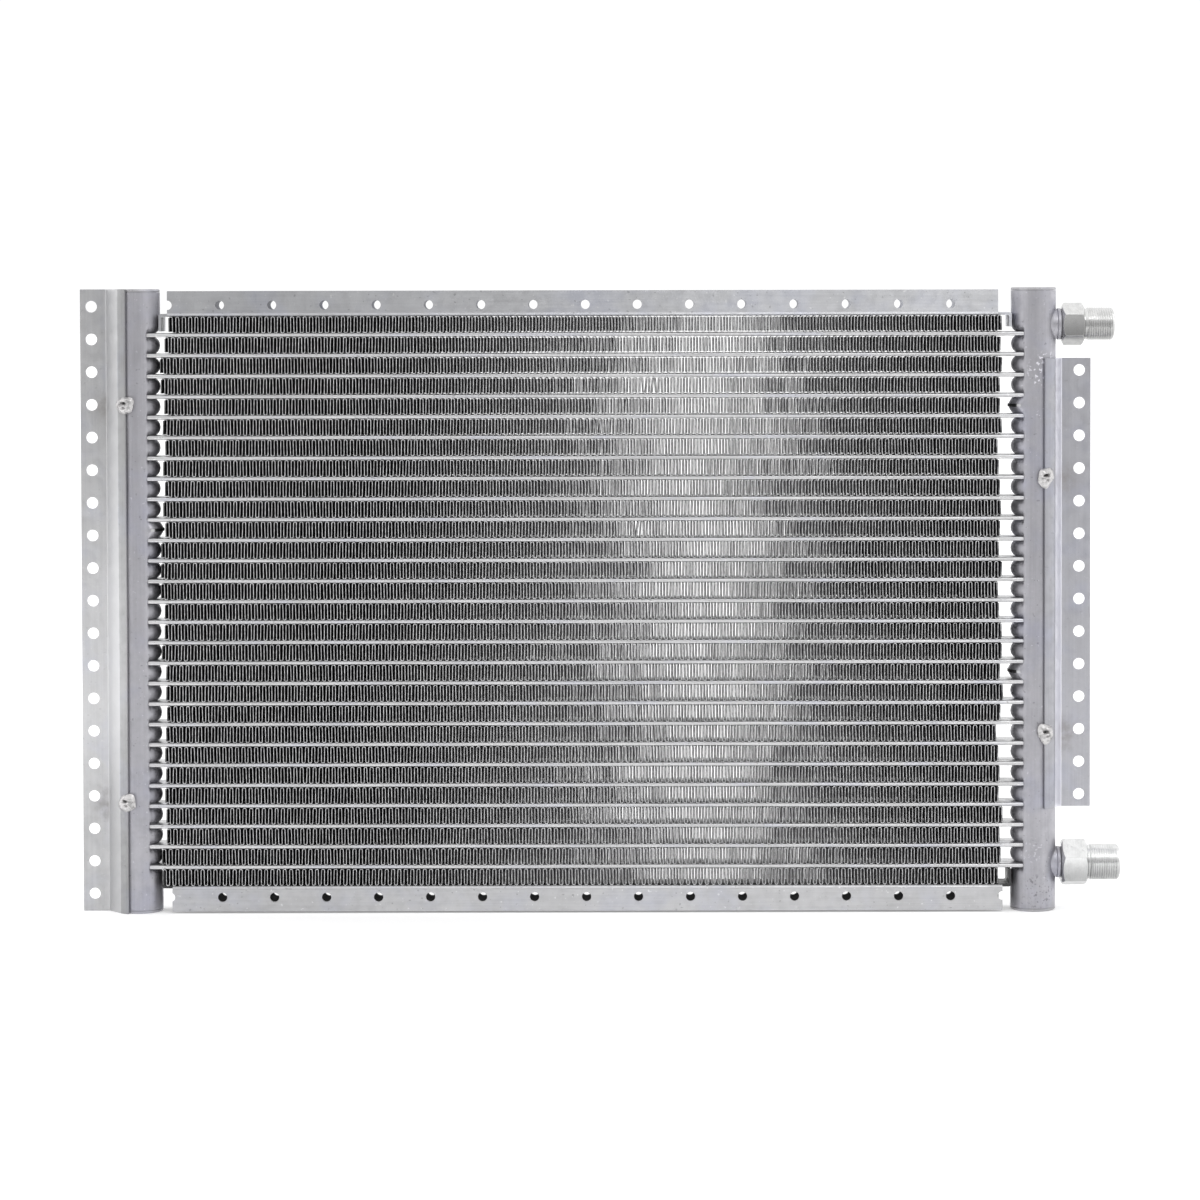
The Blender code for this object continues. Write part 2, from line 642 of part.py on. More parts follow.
make_tubes(tube_aluminium)
make_fin_packs(fin_aluminium)
for header_side in ("left", "right"):
    make_header(header_side, header_aluminium)
    make_end_caps(header_side, header_aluminium)
for baffle_name, baffle_z in BAFFLE_HEIGHTS.items():
    make_baffle(baffle_name, baffle_name.split("_")[0], baffle_z, plate_aluminium)
for plate_level in ("top", "bottom"):
    make_side_plate(plate_level, plate_aluminium)
make_bracket("left", LEFT_BRACKET, bracket_aluminium)
make_bracket("right", RIGHT_BRACKET, bracket_aluminium)
for weld_side in ("left", "right"):
    make_tack_welds(weld_side, weld_aluminium)
for port_level, port_sizes in PORTS.items():
    make_boss(port_level, port_sizes, header_aluminium)
    make_seal(port_level, port_sizes, seal_rubber)
    make_adapter(port_level, port_sizes, machined_metal)
bpy.context.view_layer.update()
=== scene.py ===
"""Looks of the air-blown hydraulic oil cooler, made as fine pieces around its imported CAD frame.

Units are metres, +Z is up, and -Y is the front. Places come from the frame's nodes; the sizes
below are the details that the plain CAD solids leave out.
"""

import math

import bpy
import numpy as np
from mathutils import Matrix, Vector


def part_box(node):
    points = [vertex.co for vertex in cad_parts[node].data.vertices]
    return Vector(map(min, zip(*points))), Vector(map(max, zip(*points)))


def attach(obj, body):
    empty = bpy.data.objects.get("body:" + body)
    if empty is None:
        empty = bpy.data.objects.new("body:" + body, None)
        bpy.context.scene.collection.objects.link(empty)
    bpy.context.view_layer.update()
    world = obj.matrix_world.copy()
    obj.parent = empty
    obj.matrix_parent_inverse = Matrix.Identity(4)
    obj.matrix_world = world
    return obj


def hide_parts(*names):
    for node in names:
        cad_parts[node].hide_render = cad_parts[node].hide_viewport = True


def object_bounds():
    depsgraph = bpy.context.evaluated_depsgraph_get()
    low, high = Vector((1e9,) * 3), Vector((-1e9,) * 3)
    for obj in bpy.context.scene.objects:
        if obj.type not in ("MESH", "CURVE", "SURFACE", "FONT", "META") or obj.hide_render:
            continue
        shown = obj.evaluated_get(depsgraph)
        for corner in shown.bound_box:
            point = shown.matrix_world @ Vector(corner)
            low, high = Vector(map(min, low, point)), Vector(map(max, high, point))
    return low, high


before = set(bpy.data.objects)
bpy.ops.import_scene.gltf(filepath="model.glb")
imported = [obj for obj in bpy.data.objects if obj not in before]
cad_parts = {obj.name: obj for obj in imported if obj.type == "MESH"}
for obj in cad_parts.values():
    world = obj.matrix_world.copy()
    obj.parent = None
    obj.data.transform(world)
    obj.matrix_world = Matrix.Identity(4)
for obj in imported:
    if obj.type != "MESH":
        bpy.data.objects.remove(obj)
cad_low, cad_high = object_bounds()

# ---- Places read from the frame ----


def middle(node):
    low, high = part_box(node)
    return (low + high) / 2


TUBE_COUNT = sum(name.startswith("tube_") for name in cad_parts)
TUBE_NAMES = [f"tube_{i + 1:02d}" for i in range(TUBE_COUNT)]
TUBE_Z = [middle(name).z for name in TUBE_NAMES]
TUBE_PITCH = (TUBE_Z[0] - TUBE_Z[-1]) / (TUBE_COUNT - 1)
TUBE_LOW, TUBE_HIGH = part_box("tube_01")
TUBE_DEPTH = 0.018
TUBE_THICKNESS = TUBE_HIGH.z - TUBE_LOW.z
GAP_HALF = TUBE_PITCH / 2 - TUBE_THICKNESS / 2
HEADER_LOW, HEADER_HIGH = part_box("header_left")
HEADER_RADIUS = (HEADER_HIGH.x - HEADER_LOW.x) / 2
HEADER_X = {side: middle("header_" + side).x for side in ("left", "right")}
TO_CORE = {"left": 1, "right": -1}
BASE_Z = cad_low.z
CORE_X = (HEADER_X["left"] + HEADER_X["right"]) / 2
FIN_LOW, FIN_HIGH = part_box("fin_pack_inlet_pass")
ROW_Z = [TUBE_Z[0] + TUBE_PITCH * (0.5 - row) for row in range(TUBE_COUNT + 1)]
WELD_NODES = sorted(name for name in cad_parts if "_weld_" in name)

# ---- Driving details ----

HEADER_WALL = 0.0015
DOME_RADIUS = 0.00453           # of the bulge that the header shows between two tubes
DOME_FADE = (math.radians(62), math.radians(50))  # from the core's direction
BAFFLE_RIDGE = 0.0014
BAFFLE_LIP = 0.0016             # how far a baffle's edge stands out of the pipe
LID_GAP = 0.0002
LID_SPIGOT = 0.0035
LID_DISH = 0.0004

FOIL = 0.00011
FIN_PITCH = 0.00155
FIN_HALF_DEPTH = TUBE_DEPTH / 2
FIN_STRIP = 0.0009
FIN_CENTRE_STRIP = 0.0012
CREST_STEPS = 6
CREST_START = GAP_HALF - FIN_PITCH / 2  # height where the legs turn into the round crest
LOUVRES_EACH_BANK = 5
LOUVRE_TURN = math.radians(43)
LOUVRE_HALF_LENGTH = 0.00335
FOLD_YAW = 0.00020              # all folds stand a little askew, over half the depth
EDGE_HALF_WIDTH = 0.00015       # of the rolled edge that the foil shows front and back
EDGE_REACH = 0.00012
EDGE_DEPTH = 0.00036
TOP_ROW_INSET = 0.0032          # the top strip starts this far in from the packs' left end
# Dents in the fins' front: row, place along it, reach, push.
DENTS = (
    (3, 0.0235, 0.0050, 0.00075),
    (5, 0.0000, 0.0040, 0.00050),
    (10, 0.0176, 0.0045, 0.00070),
)

PLATE_SHEET = 0.0015
PLATE_OUTER_BEND = 0.0020
PLATE_INNER_BEND = 0.0008
PLATE_ENDS = {"top": (-0.2033, 0.2008), "bottom": (-0.2023, 0.2032)}
PLATE_HOLE_RADIUS = 0.00225
PLATE_HOLE_PITCH = 0.0254
PLATE_HOLES_EACH_SIDE = 8
PLATE_HOLE_DROP = 0.0069
TONGUE_LENGTH = 0.0180
TONGUE_HALF_WIDTH = 0.008
TONGUE_BEND = 0.0013
TONGUE_CHAMFER = 0.0003         # in the inner corner
TONGUE_DROP = {
    "top": {"left": 0.0071, "right": 0.0056}, "bottom": {"left": 0.0071, "right": 0.0070},
}

BRACKET_WALL = 0.0013
BRACKET_SHEET = 0.0015
BRACKET_GAP = 0.0003
BRACKET_WRAP = math.radians(69)
# Where the web leaves the saddle, from the flange's plane, and how far it leans from upright.
BRACKET_WEB = {
    "left": (math.radians(47.6), math.radians(38.5)),
    "right": (math.radians(39), math.radians(28.6)),
}
BRACKET_FILLET = 0.0010
BRACKET_HOLE_OFFSET = 0.0225
BRACKET_HOLE_RADIUS = 0.0028
BRACKET_HOLE_PITCH = 0.016

WELD_RADIUS = 0.0047
WELD_HEIGHT = 0.0021
WELD_SEAT = HEADER_RADIUS + 0.0019
WELD_SKIRT = 0.0012             # how far the rim runs down into the saddle
WELD_LUMPS = 16
# Shrinkage craters: along and up from the weld's middle, half sizes, depth.
WELD_CRATERS = (
    (-0.0003, 0.0010, 0.0017, 0.0006, 0.0026),
    (0.0002, -0.0013, 0.0010, 0.0005, 0.0013),
    (0.0017, -0.0002, 0.0007, 0.0005, 0.0006),
)

PORTS = {
    "upper": {
        "flats": 0.018, "hex_end": 0.0247, "tip": 0.0388, "thread": 0.0080,
        "bore": 0.0035, "mouth": 0.0054, "turn": math.radians(2.4),
    },
    "lower": {
        "flats": 0.021, "hex_end": 0.0264, "tip": 0.0420, "thread": 0.0089,
        "bore": 0.0040, "mouth": 0.0064, "turn": math.radians(13),
    },
}
BOSS_RADIUS = 0.0077
BOSS_NECK = BOSS_RADIUS - 0.0005
BOSS_ROOT = 0.0070              # where the neck starts inside the pipe, from the header axis
BOSS_COLLAR = 0.0113            # where it widens into its collar
BOSS_FACE = 0.0134
BOSS_FILLET = 0.0013
SEAT_RADIUS = 0.0062            # of the O-ring's recess
SEAT_DEPTH = 0.0014
PORT_BORE = 0.0050
HEX_GAP = 0.00005
HEX_CROWN_INSET = 0.0009        # of the hexagon's turned face, from its flats
HEX_CROWN_SLOPE = math.radians(30)
THREAD_PITCH = 0.00115
THREAD_DEPTH = 0.00040
THREAD_RELIEF = 0.0012
THREAD_CHAMFER = 0.0011
SPIGOT_START = 0.0118
SPIGOT_WALL = 0.0011
CONE_SLOPE = math.radians(12)

# ---- Looks ----

HEAT_TINT = (0.20, 0.17, 0.15)
# Middle and reach of the foil's painted light, and darker patches: place, reach, strength.
FIN_PAINTED_LIGHT_X = 0.035
FIN_PAINTED_LIGHT_REACH = 0.17
FIN_DARK_PATCHES = (
    ((-0.1930, -0.009, 0.1500), 0.012, 0.7),
    ((-0.1930, -0.009, 0.1200), 0.012, 0.7),
    ((-0.1930, -0.009, 0.0900), 0.012, 0.6),
    ((0.1300, -0.009, 0.1700), 0.020, 0.5),
)
# Braze spatter and pits on the headers: place, reach, size of the spots, and their brightness.
HEADER_SPATTER = (
    ((0.2177, -0.0100, 0.2640), 0.0130, 0.0016, 2.1),
    ((0.2145, -0.0100, 0.2440), 0.0040, 0.0014, 1.8),
    ((0.2140, -0.0100, 0.0100), 0.0120, 0.0013, 0.60),
    ((0.2100, -0.0100, 0.0300), 0.0090, 0.0012, 1.3),
)

FLOOR_GLOW = 0.27
FLOOR_REACH = 30.0
FLOOR_FRONT = -0.62
KEY_PLACE = Vector((0.9, -1.5, 1.8))
KEY_AIM = Vector((0.0, 0.0, 0.15))
KEY_SIZE = (1.2, 0.8)
KEY_POWER = 8.0
CAMERA_PLACE = (0.010, -1.749, 0.2995)
CAMERA_TURN = (math.radians(90 - 1.763), math.radians(0.13), 0)
CAMERA_SENSOR = 36.0
CAMERA_LENS = 107.3
CAMERA_SHIFT = (-0.0167, -0.1588)


# ---- Mesh helpers ----

def skin(rings, looped=False):
    """Points and outward faces of one closed skin over equal rings of points."""
    rings = np.asarray(rings, float)
    rows, columns = rings.shape[:2]
    index = np.arange(rows * columns).reshape(rows, columns)
    if looped:
        index = np.vstack([index, index[:1]])
    index = np.hstack([index, index[:, :1]])
    corners = (index[:-1, :-1], index[:-1, 1:], index[1:, 1:], index[1:, :-1])
    quads = np.stack(corners, axis=-1).reshape(-1, 4)
    points = rings.reshape(-1, 3)
    faces = quads.tolist()
    if not looped:
        faces.append(list(range(columns))[::-1])
        faces.append(list(range((rows - 1) * columns, rows * columns)))
    corner = points[quads] - points.mean(axis=0)
    volume = np.einsum("ij,ij->i", corner[:, 0], np.cross(corner[:, 1], corner[:, 2])).sum()
    volume += np.einsum("ij,ij->i", corner[:, 0], np.cross(corner[:, 2], corner[:, 3])).sum()
    if volume < 0:
        faces = [face[::-1] for face in faces]
    return points, faces


def joined(shells):
    """Several shells' points and faces as those of one mesh."""
    points = []
    faces = []
    start = 0
    for shell_points, shell_faces in shells:
        points.append(shell_points)
        faces += [[start + corner for corner in face] for face in shell_faces]
        start += len(shell_points)
    return np.concatenate(points), faces


def mesh_of(name, shell):
    points, faces = shell
    mesh = bpy.data.meshes.new(name)
    mesh.from_pydata(points.tolist(), [], faces)
    return mesh


def place_in_scene(name, data):
    """A new object of a mesh, light or camera, in the scene."""
    thing = bpy.data.objects.new(name, data)
    bpy.context.scene.collection.objects.link(thing)
    return thing


def new_piece(name, shell, material, sharp=35):
    mesh = mesh_of(name, shell)
    mesh.materials.append(material)
    shade(mesh, sharp)
    return place_in_scene(name, mesh)


def shade(mesh, sharp):
    mesh.shade_smooth()
    mesh.set_sharp_from_angle(angle=math.radians(sharp))


def stand_for(piece, slot, *nodes):
    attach(piece, "root")
    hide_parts(*nodes)


def carve(piece, shell, operation="DIFFERENCE", sharp=35):
    """Take a shell's volume out of a piece, or with INTERSECT keep only what lies in it."""
    tool = place_in_scene("carver", mesh_of("carver", shell))
    modifier = piece.modifiers.new("carve", "BOOLEAN")
    modifier.operation = operation
    modifier.solver = "EXACT"
    modifier.object = tool
    settle(piece, sharp)
    bpy.data.objects.remove(tool, do_unlink=True)


def round_edges(piece, width, angle=40, sharp=60):
    bevel = piece.modifiers.new("rounded_edges", "BEVEL")
    bevel.width = width
    bevel.segments = 2
    bevel.limit_method = "ANGLE"
    bevel.angle_limit = math.radians(angle)
    bevel.harden_normals = False
    settle(piece, sharp)


def settle(piece, sharp):
    """Make a piece's modifiers part of its mesh."""
    depsgraph = bpy.context.evaluated_depsgraph_get()
    mesh = bpy.data.meshes.new_from_object(piece.evaluated_get(depsgraph))
    piece.modifiers.clear()
    piece.data = mesh
    if sharp is not None:
        shade(mesh, sharp)


def flatten_faces(piece):
    """Let each wide flat face rule the shading of its rounded edges."""
    modifier = piece.modifiers.new("flat_faces", "WEIGHTED_NORMAL")
    modifier.keep_sharp = True
    modifier.weight = 100
    settle(piece, None)


def arc(centre, radius, start, end, steps):
    """Points along a round stretch in a plane, both ends included."""
    angles = np.linspace(start, end, steps + 1)
    points = np.stack([np.cos(angles), np.sin(angles)], axis=-1)
    return (np.array(centre) + radius * points).tolist()


def circle(centre, radius, steps):
    return arc(centre, radius, 0, math.tau, steps)[:-1]


def turned(profile, steps, looped=False):
    """The shell that (radius, height) rings make about Z; a radius may vary with the angle."""
    angles = np.arange(steps) * math.tau / steps
    rings = np.empty((len(profile), steps, 3))
    for ring, (radius, height) in zip(rings, profile):
        ring[:, 0] = radius * np.cos(angles)
        ring[:, 1] = radius * np.sin(angles)
        ring[:, 2] = height
    return skin(rings, looped)


def extruded(outline, start, end, axis, steps=1):
    """A flat outline carried along one axis, the outline's two values on the other two in turn."""
    outline = np.array(outline)
    places = np.linspace(start, end, steps + 1)
    rings = np.empty((len(places), len(outline), 3))
    others = [i for i in range(3) if i != axis]
    rings[:, :, others[0]] = outline[:, 0]
    rings[:, :, others[1]] = outline[:, 1]
    rings[:, :, axis] = places[:, None]
    return skin(rings)


def moved(shell, matrix):
    points, faces = shell
    turn = np.array(matrix.to_3x3())
    place = np.array(matrix.translation)
    return points @ turn.T + place, faces


def stance(x, z, turn, axis):
    """Turned about one axis, then moved in the middle plane."""
    return Matrix.Translation((x, 0, z)) @ Matrix.Rotation(turn, 4, axis)


def smooth_noise(places, step, rng):
    """A smooth random curve from -1 to 1 with one free value each step."""
    low = places.min()
    knots = int((places.max() - low) / step) + 4
    values = rng.uniform(-1, 1, knots)
    at = (places - low) / step
    first = at.astype(int)
    part = at - first
    part = part * part * (3 - 2 * part)
    return values[first] * (1 - part) + values[first + 1] * part


# ---- Materials ----

class Nodes:
    """A node tree with short ways to add the procedural nodes used here."""

    def __init__(self, tree, coordinate):
        self.tree = tree
        self.place = tree.nodes.new("ShaderNodeTexCoord").outputs[coordinate]

    def feed(self, socket, value):
        """Link a node's output to a socket, or set a plain colour or number on it."""
        if isinstance(value, bpy.types.NodeSocket):
            self.tree.links.new(value, socket)
        elif isinstance(value, tuple):
            socket.default_value = (*value, 1.0)
        else:
            socket.default_value = value

    def span(self, value, low, high, to_low=0.0, to_high=1.0):
        """A smooth ramp from to_low at low to to_high at high."""
        node = self.tree.nodes.new("ShaderNodeMapRange")
        node.interpolation_type = "SMOOTHSTEP"
        for name, fed in (
            ("Value", value), ("From Min", low), ("From Max", high),
            ("To Min", to_low), ("To Max", to_high),
        ):
            self.feed(node.inputs[name], fed)
        return node.outputs["Result"]

    def math(self, operation, first, second):
        node = self.tree.nodes.new("ShaderNodeMath")
        node.operation = operation
        self.feed(node.inputs[0], first)
        self.feed(node.inputs[1], second)
        return node.outputs["Value"]

    def axis(self, name):
        node = self.tree.nodes.new("ShaderNodeSeparateXYZ")
        self.feed(node.inputs["Vector"], self.place)
        return node.outputs[name]


class Finish(Nodes):
    """A Principled material whose inputs are built from procedural nodes."""

    def __init__(self, name, roughness, metallic):
        self.material = bpy.data.materials.new(name)
        self.material.use_nodes = True
        super().__init__(self.material.node_tree, "Object")
        self.shader = self.tree.nodes["Principled BSDF"]
        self.give("Roughness", roughness)
        self.give("Metallic", metallic)
        self.base = None

    def give(self, name, value):
        self.feed(self.shader.inputs[name], value)

    def done(self):
        self.give("Base Color", self.base)
        return self.material

    def noise(self, size, detail, stretch=(1, 1, 1)):
        mapping = self.tree.nodes.new("ShaderNodeMapping")
        mapping.inputs["Scale"].default_value = stretch
        self.feed(mapping.inputs["Vector"], self.place)
        texture = self.tree.nodes.new("ShaderNodeTexNoise")
        for name, fed in (
            ("Scale", 1 / size), ("Detail", detail), ("Roughness", 0.55),
            ("Vector", mapping.outputs["Vector"]),
        ):
            self.feed(texture.inputs[name], fed)
        return texture.outputs["Fac"]

    def mix(self, factor, first, second, blend="MIX"):
        node = self.tree.nodes.new("ShaderNodeMix")
        node.data_type = "RGBA"
        node.blend_type = blend
        self.feed(node.inputs["Factor"], factor)
        self.feed(node.inputs[6], first)
        self.feed(node.inputs[7], second)
        return node.outputs[2]

    def paint(self, mask, colour):
        """Cover the base colour with another where a mask is 1."""
        self.base = self.mix(mask, self.base, colour)

    def dim(self, mask, factor):
        self.paint(mask, self.mix(1.0, self.base, (factor,) * 3, "MULTIPLY"))

    def depth(self):
        """Distance from the middle plane, to the front or to the back."""
        return self.math("ABSOLUTE", self.axis("Y"), 0.0)

    def near(self, point, reach):
        """1 at a point, falling to 0 at reach."""
        node = self.tree.nodes.new("ShaderNodeVectorMath")
        node.operation = "DISTANCE"
        node.inputs[1].default_value = point
        self.feed(node.inputs[0], self.place)
        return self.span(node.outputs["Value"], 0.0, reach, 1.0, 0.0)

    def bump(self, height, distance, strength):
        node = self.tree.nodes.new("ShaderNodeBump")
        for name, fed in (("Strength", strength), ("Distance", distance), ("Height", height)):
            self.feed(node.inputs[name], fed)
        last = self.shader.inputs["Normal"]
        if last.is_linked:
            self.feed(node.inputs["Normal"], last.links[0].from_socket)
        self.feed(last, node.outputs["Normal"])


def scaled(colour, factor):
    return tuple(min(1.0, channel * factor) for channel in colour)


def mill_metal(name, colour, roughness, along=None, mottle=0.10, specks=0.5, tints=(),
               roughened=1.0, fades=(), spatter=(), inside=None, web_light_and_shade=None):
    """Mill-finish aluminium: soft mottling, drawing lines along an axis, specks and tints.

    tints are burnt places: point, reach, strength. fades dim towards one side: axis, start, end,
    factor. spatter is spots: point, reach, size, brightness. inside is the depth nearer to the
    middle plane than which a channel's inside gets painted shade. rubbed paints a highlight on a
    band of depths and painted shade on what lies beyond it: low, high, factor, factor beyond.
    """
    finish = Finish(name, roughness, 0.85)
    clouds = finish.noise(0.030, 3.0)
    patches = finish.noise(0.0045, 4.0)
    finish.base = finish.mix(
        finish.span(clouds, 0.30, 0.70), scaled(colour, 1 - mottle), scaled(colour, 1 + mottle),
    )
    cool = (colour[0] * 0.93, colour[1] * 0.95, colour[2] * 1.06)
    finish.paint(finish.span(finish.noise(0.019, 2.0), 0.45, 0.75, 0.0, 0.7), cool)
    finish.paint(finish.span(patches, 0.35, 0.75, 0.0, 0.35), scaled(colour, 0.80))
    if along is not None:
        stretch = [1.0, 1.0, 1.0]
        stretch[along] = 0.02
        lines = finish.noise(0.0011, 2.0, tuple(stretch))
        finish.paint(finish.span(lines, 0.35, 0.65, 0.0, 0.22), scaled(colour, 1.25))
        finish.bump(lines, 0.00003, 0.5)
    bright = finish.span(finish.noise(0.0016, 1.0), 0.70, 0.78, 0.0, specks)
    finish.paint(bright, scaled(colour, 1.6))
    dark = finish.span(finish.noise(0.0021, 1.0, (1.0, 1.0, 1.3)), 0.70, 0.76, 0.0, specks)
    finish.paint(dark, scaled(colour, 0.45))
    for point, reach, strength in tints:
        stain = finish.math("MULTIPLY", finish.near(point, reach), finish.span(patches, 0.2, 0.7))
        finish.paint(finish.math("MULTIPLY", stain, strength), HEAT_TINT)
    for point, reach, size, factor in spatter:
        spots = finish.span(finish.noise(size, 1.0), 0.60, 0.66)
        spots = finish.math("MULTIPLY", spots, finish.span(finish.near(point, reach), 0.0, 0.5))
        finish.paint(spots, scaled(colour, factor))
    # Painted shade: a channel's inner faces are darkened to near black.
    if inside is not None:
        painted_channel_shade = finish.span(finish.depth(), inside - 0.0005, inside, 1.0, 0.0)
        finish.paint(painted_channel_shade, scaled(colour, 0.12))
    # Painted highlight on a band of depths of the bracket's web, painted shade on the saddle beyond.
    if web_light_and_shade:
        low, high, factor, beyond = web_light_and_shade
        depth = finish.depth()
        band = finish.math("MULTIPLY", finish.span(depth, low, low + 0.0003),
                           finish.span(depth, high - 0.0003, high, 1.0, 0.0))
        finish.paint(band, scaled(colour, factor))
        finish.dim(finish.span(depth, high, high + 0.0006), beyond)
    for axis, start, end, factor in fades:
        finish.dim(finish.span(finish.axis(axis), start, end), factor)
    smooth = max(0.05, roughness - 0.10)
    finish.give("Roughness", finish.span(patches, 0.25, 0.75, smooth, roughness + 0.12))
    finish.bump(finish.noise(0.0007, 3.0), 0.00004 * roughened, 0.6)
    finish.bump(patches, 0.00012 * roughened, 0.5)
    return finish.done()


def machined_metal(name, colour, roughness, height, painted_underside_shade):
    """Turned or milled plated steel: fine tool lines, stains and nicks, painted shade on its underside.
    """
    finish = Finish(name, roughness, 1.0)
    lines = finish.noise(0.00022, 2.0, (1.0, 0.05, 0.05))
    stains = finish.noise(0.0040, 3.0)
    nicks = finish.span(finish.noise(0.0010, 1.0), 0.72, 0.78, 0.0, 0.6)
    finish.base = finish.mix(
        finish.span(stains, 0.35, 0.75), scaled(colour, 1.03), scaled(colour, 0.90),
    )
    finish.paint(finish.span(lines, 0.3, 0.7, 0.0, 0.25), scaled(colour, 0.72))
    finish.paint(nicks, scaled(colour, 0.5))
    # Painted shade: darker below the port's middle height.
    finish.dim(finish.span(finish.axis("Z"), height + 0.005, height - 0.006), painted_underside_shade)
    finish.give("Roughness", finish.span(stains, 0.3, 0.7, roughness - 0.04, roughness + 0.05))
    finish.bump(lines, 0.00001, 0.4)
    finish.bump(nicks, 0.00005, 0.4)
    return finish.done()


def fin_metal(name, lit_middle_colour, shaded_side_colour, edge_colour):
    """Thin clad foil with painted light in the core's middle and painted shade towards the sides, bloom
    in streaks and shiny sheared edges.
    """
    finish = Finish(name, 0.38, 0.9)
    bloom = finish.noise(0.010, 3.0, (1.0, 1.0, 0.6))
    fine = finish.noise(0.0009, 3.0)
    # Painted light in the core's middle, fading into painted shade towards both sides.
    off_middle = finish.math("ABSOLUTE", finish.math("SUBTRACT", finish.axis("X"), FIN_PAINTED_LIGHT_X), 0.0)
    outer = finish.span(off_middle, 0.02, FIN_PAINTED_LIGHT_REACH)
    finish.base = finish.mix(outer, lit_middle_colour, shaded_side_colour)
    # Darker patches, mostly along the left end of the pack.
    for point, reach, strength in FIN_DARK_PATCHES:
        dark_patch = finish.math("MULTIPLY", finish.near(point, reach), strength)
        finish.paint(dark_patch, scaled(shaded_side_colour, 0.3))
    finish.dim(finish.span(bloom, 0.35, 0.70), 0.72)
    finish.paint(finish.span(fine, 0.45, 0.75, 0.0, 0.4), scaled(shaded_side_colour, 0.7))
    edge = finish.span(finish.depth(), FIN_HALF_DEPTH - 0.00025, FIN_HALF_DEPTH - 0.00005)
    worn = finish.span(finish.noise(0.0016, 2.0), 0.35, 0.65)
    finish.paint(edge, finish.mix(worn, edge_colour, scaled(edge_colour, 0.6)))
    finish.give("Roughness", finish.span(bloom, 0.3, 0.7, 0.30, 0.50))
    finish.bump(fine, 0.00003, 0.5)
    return finish.done()


def weld_metal(name, colour):
    """A dull cast bead with ripples, bright burrs, soot in patches and craters darkened to near black.
    """
    finish = Finish(name, 0.36, 0.95)
    ripple = finish.noise(0.0011, 4.0)
    soot = finish.span(finish.noise(0.0026, 3.0), 0.45, 0.70)
    finish.base = finish.mix(soot, colour, scaled(colour, 0.55))
    finish.paint(finish.span(ripple, 0.55, 0.75), scaled(colour, 1.35))
    # Each weld's main crater is darkened to near black.
    for point in crater_points():
        finish.paint(finish.near(point, 0.0011), scaled(colour, 0.08))
    finish.give("Roughness", finish.span(ripple, 0.3, 0.7, 0.25, 0.55))
    finish.bump(ripple, 0.00025, 0.8)
    return finish.done()


def rubber(name):
    finish = Finish(name, 0.7, 0.0)
    grain = finish.noise(0.0006, 3.0)
    finish.base = finish.mix(grain, (0.012, 0.012, 0.012), (0.035, 0.034, 0.033))
    finish.bump(grain, 0.00005, 0.4)
    return finish.done()


# ---- Headers ----

def header_columns():
    """Angles about a header's axis from the core's direction, finer where it faces the core."""
    edge = math.radians(66)
    fine = np.linspace(-edge, edge, 41)
    coarse = np.linspace(edge, math.tau - edge, 37)[1:-1]
    return np.concatenate([fine, coarse])


def header_rows():
    """Heights of a header's rings, finer beside each tube."""
    half = TUBE_THICKNESS / 2
    steps = (0.0, half, half + 0.00025, half + 0.0007, half + 0.0014, half + 0.0024)
    offsets = sorted({side * step for step in steps for side in (-1, 1)} | {TUBE_PITCH / 2})
    heights = {round(z + offset, 7) for z in TUBE_Z for offset in offsets}
    heights.add(round(TUBE_Z[-1] - TUBE_PITCH / 2, 7))
    low, high = HEADER_LOW.z, HEADER_HIGH.z
    heights |= {round(z, 7) for z in np.linspace(low, TUBE_Z[-1] - TUBE_PITCH * 0.6, 5)}
    heights |= {round(z, 7) for z in np.linspace(TUBE_Z[0] + TUBE_PITCH * 0.6, high, 5)}
    return np.array(sorted(heights))


def header_radius(angles, heights, baffles):
    """Outer radius over angles and heights: domes between the tubes, ridges at the baffles."""
    wrapped = np.abs((angles + math.pi) % math.tau - math.pi)
    part = np.clip((DOME_FADE[0] - wrapped) / (DOME_FADE[0] - DOME_FADE[1]), 0, 1)
    fade = part * part * (3 - 2 * part)
    rows = np.array(ROW_Z)
    nearest = rows[np.abs(heights[:, None] - rows).argmin(axis=1)]
    away = np.minimum(np.abs(heights - nearest), GAP_HALF)
    depth = DOME_RADIUS - np.sqrt(DOME_RADIUS ** 2 - away ** 2)
    plain = (heights > ROW_Z[0]) | (heights < ROW_Z[-1])
    depth = np.where(plain, 0, depth)
    radius = HEADER_RADIUS - fade[None, :] * depth[:, None]
    for baffle in baffles:
        ridge = np.clip(1 - np.abs(heights - baffle) / GAP_HALF, 0, 1) * BAFFLE_RIDGE
        lift = fade[None, :] * (ridge + np.where(ridge > 0, depth * 0.55, 0))[:, None]
        radius = radius + lift
    tube_z = np.array(TUBE_Z)
    to_tube = np.abs(heights[:, None] - tube_z).min(axis=1)
    bead = np.exp(-((to_tube - TUBE_THICKNESS / 2) / 0.0007) ** 2) * 0.00028
    beside = np.exp(-((wrapped - math.radians(56)) / math.radians(7)) ** 2)
    return radius + beside[None, :] * bead[:, None]


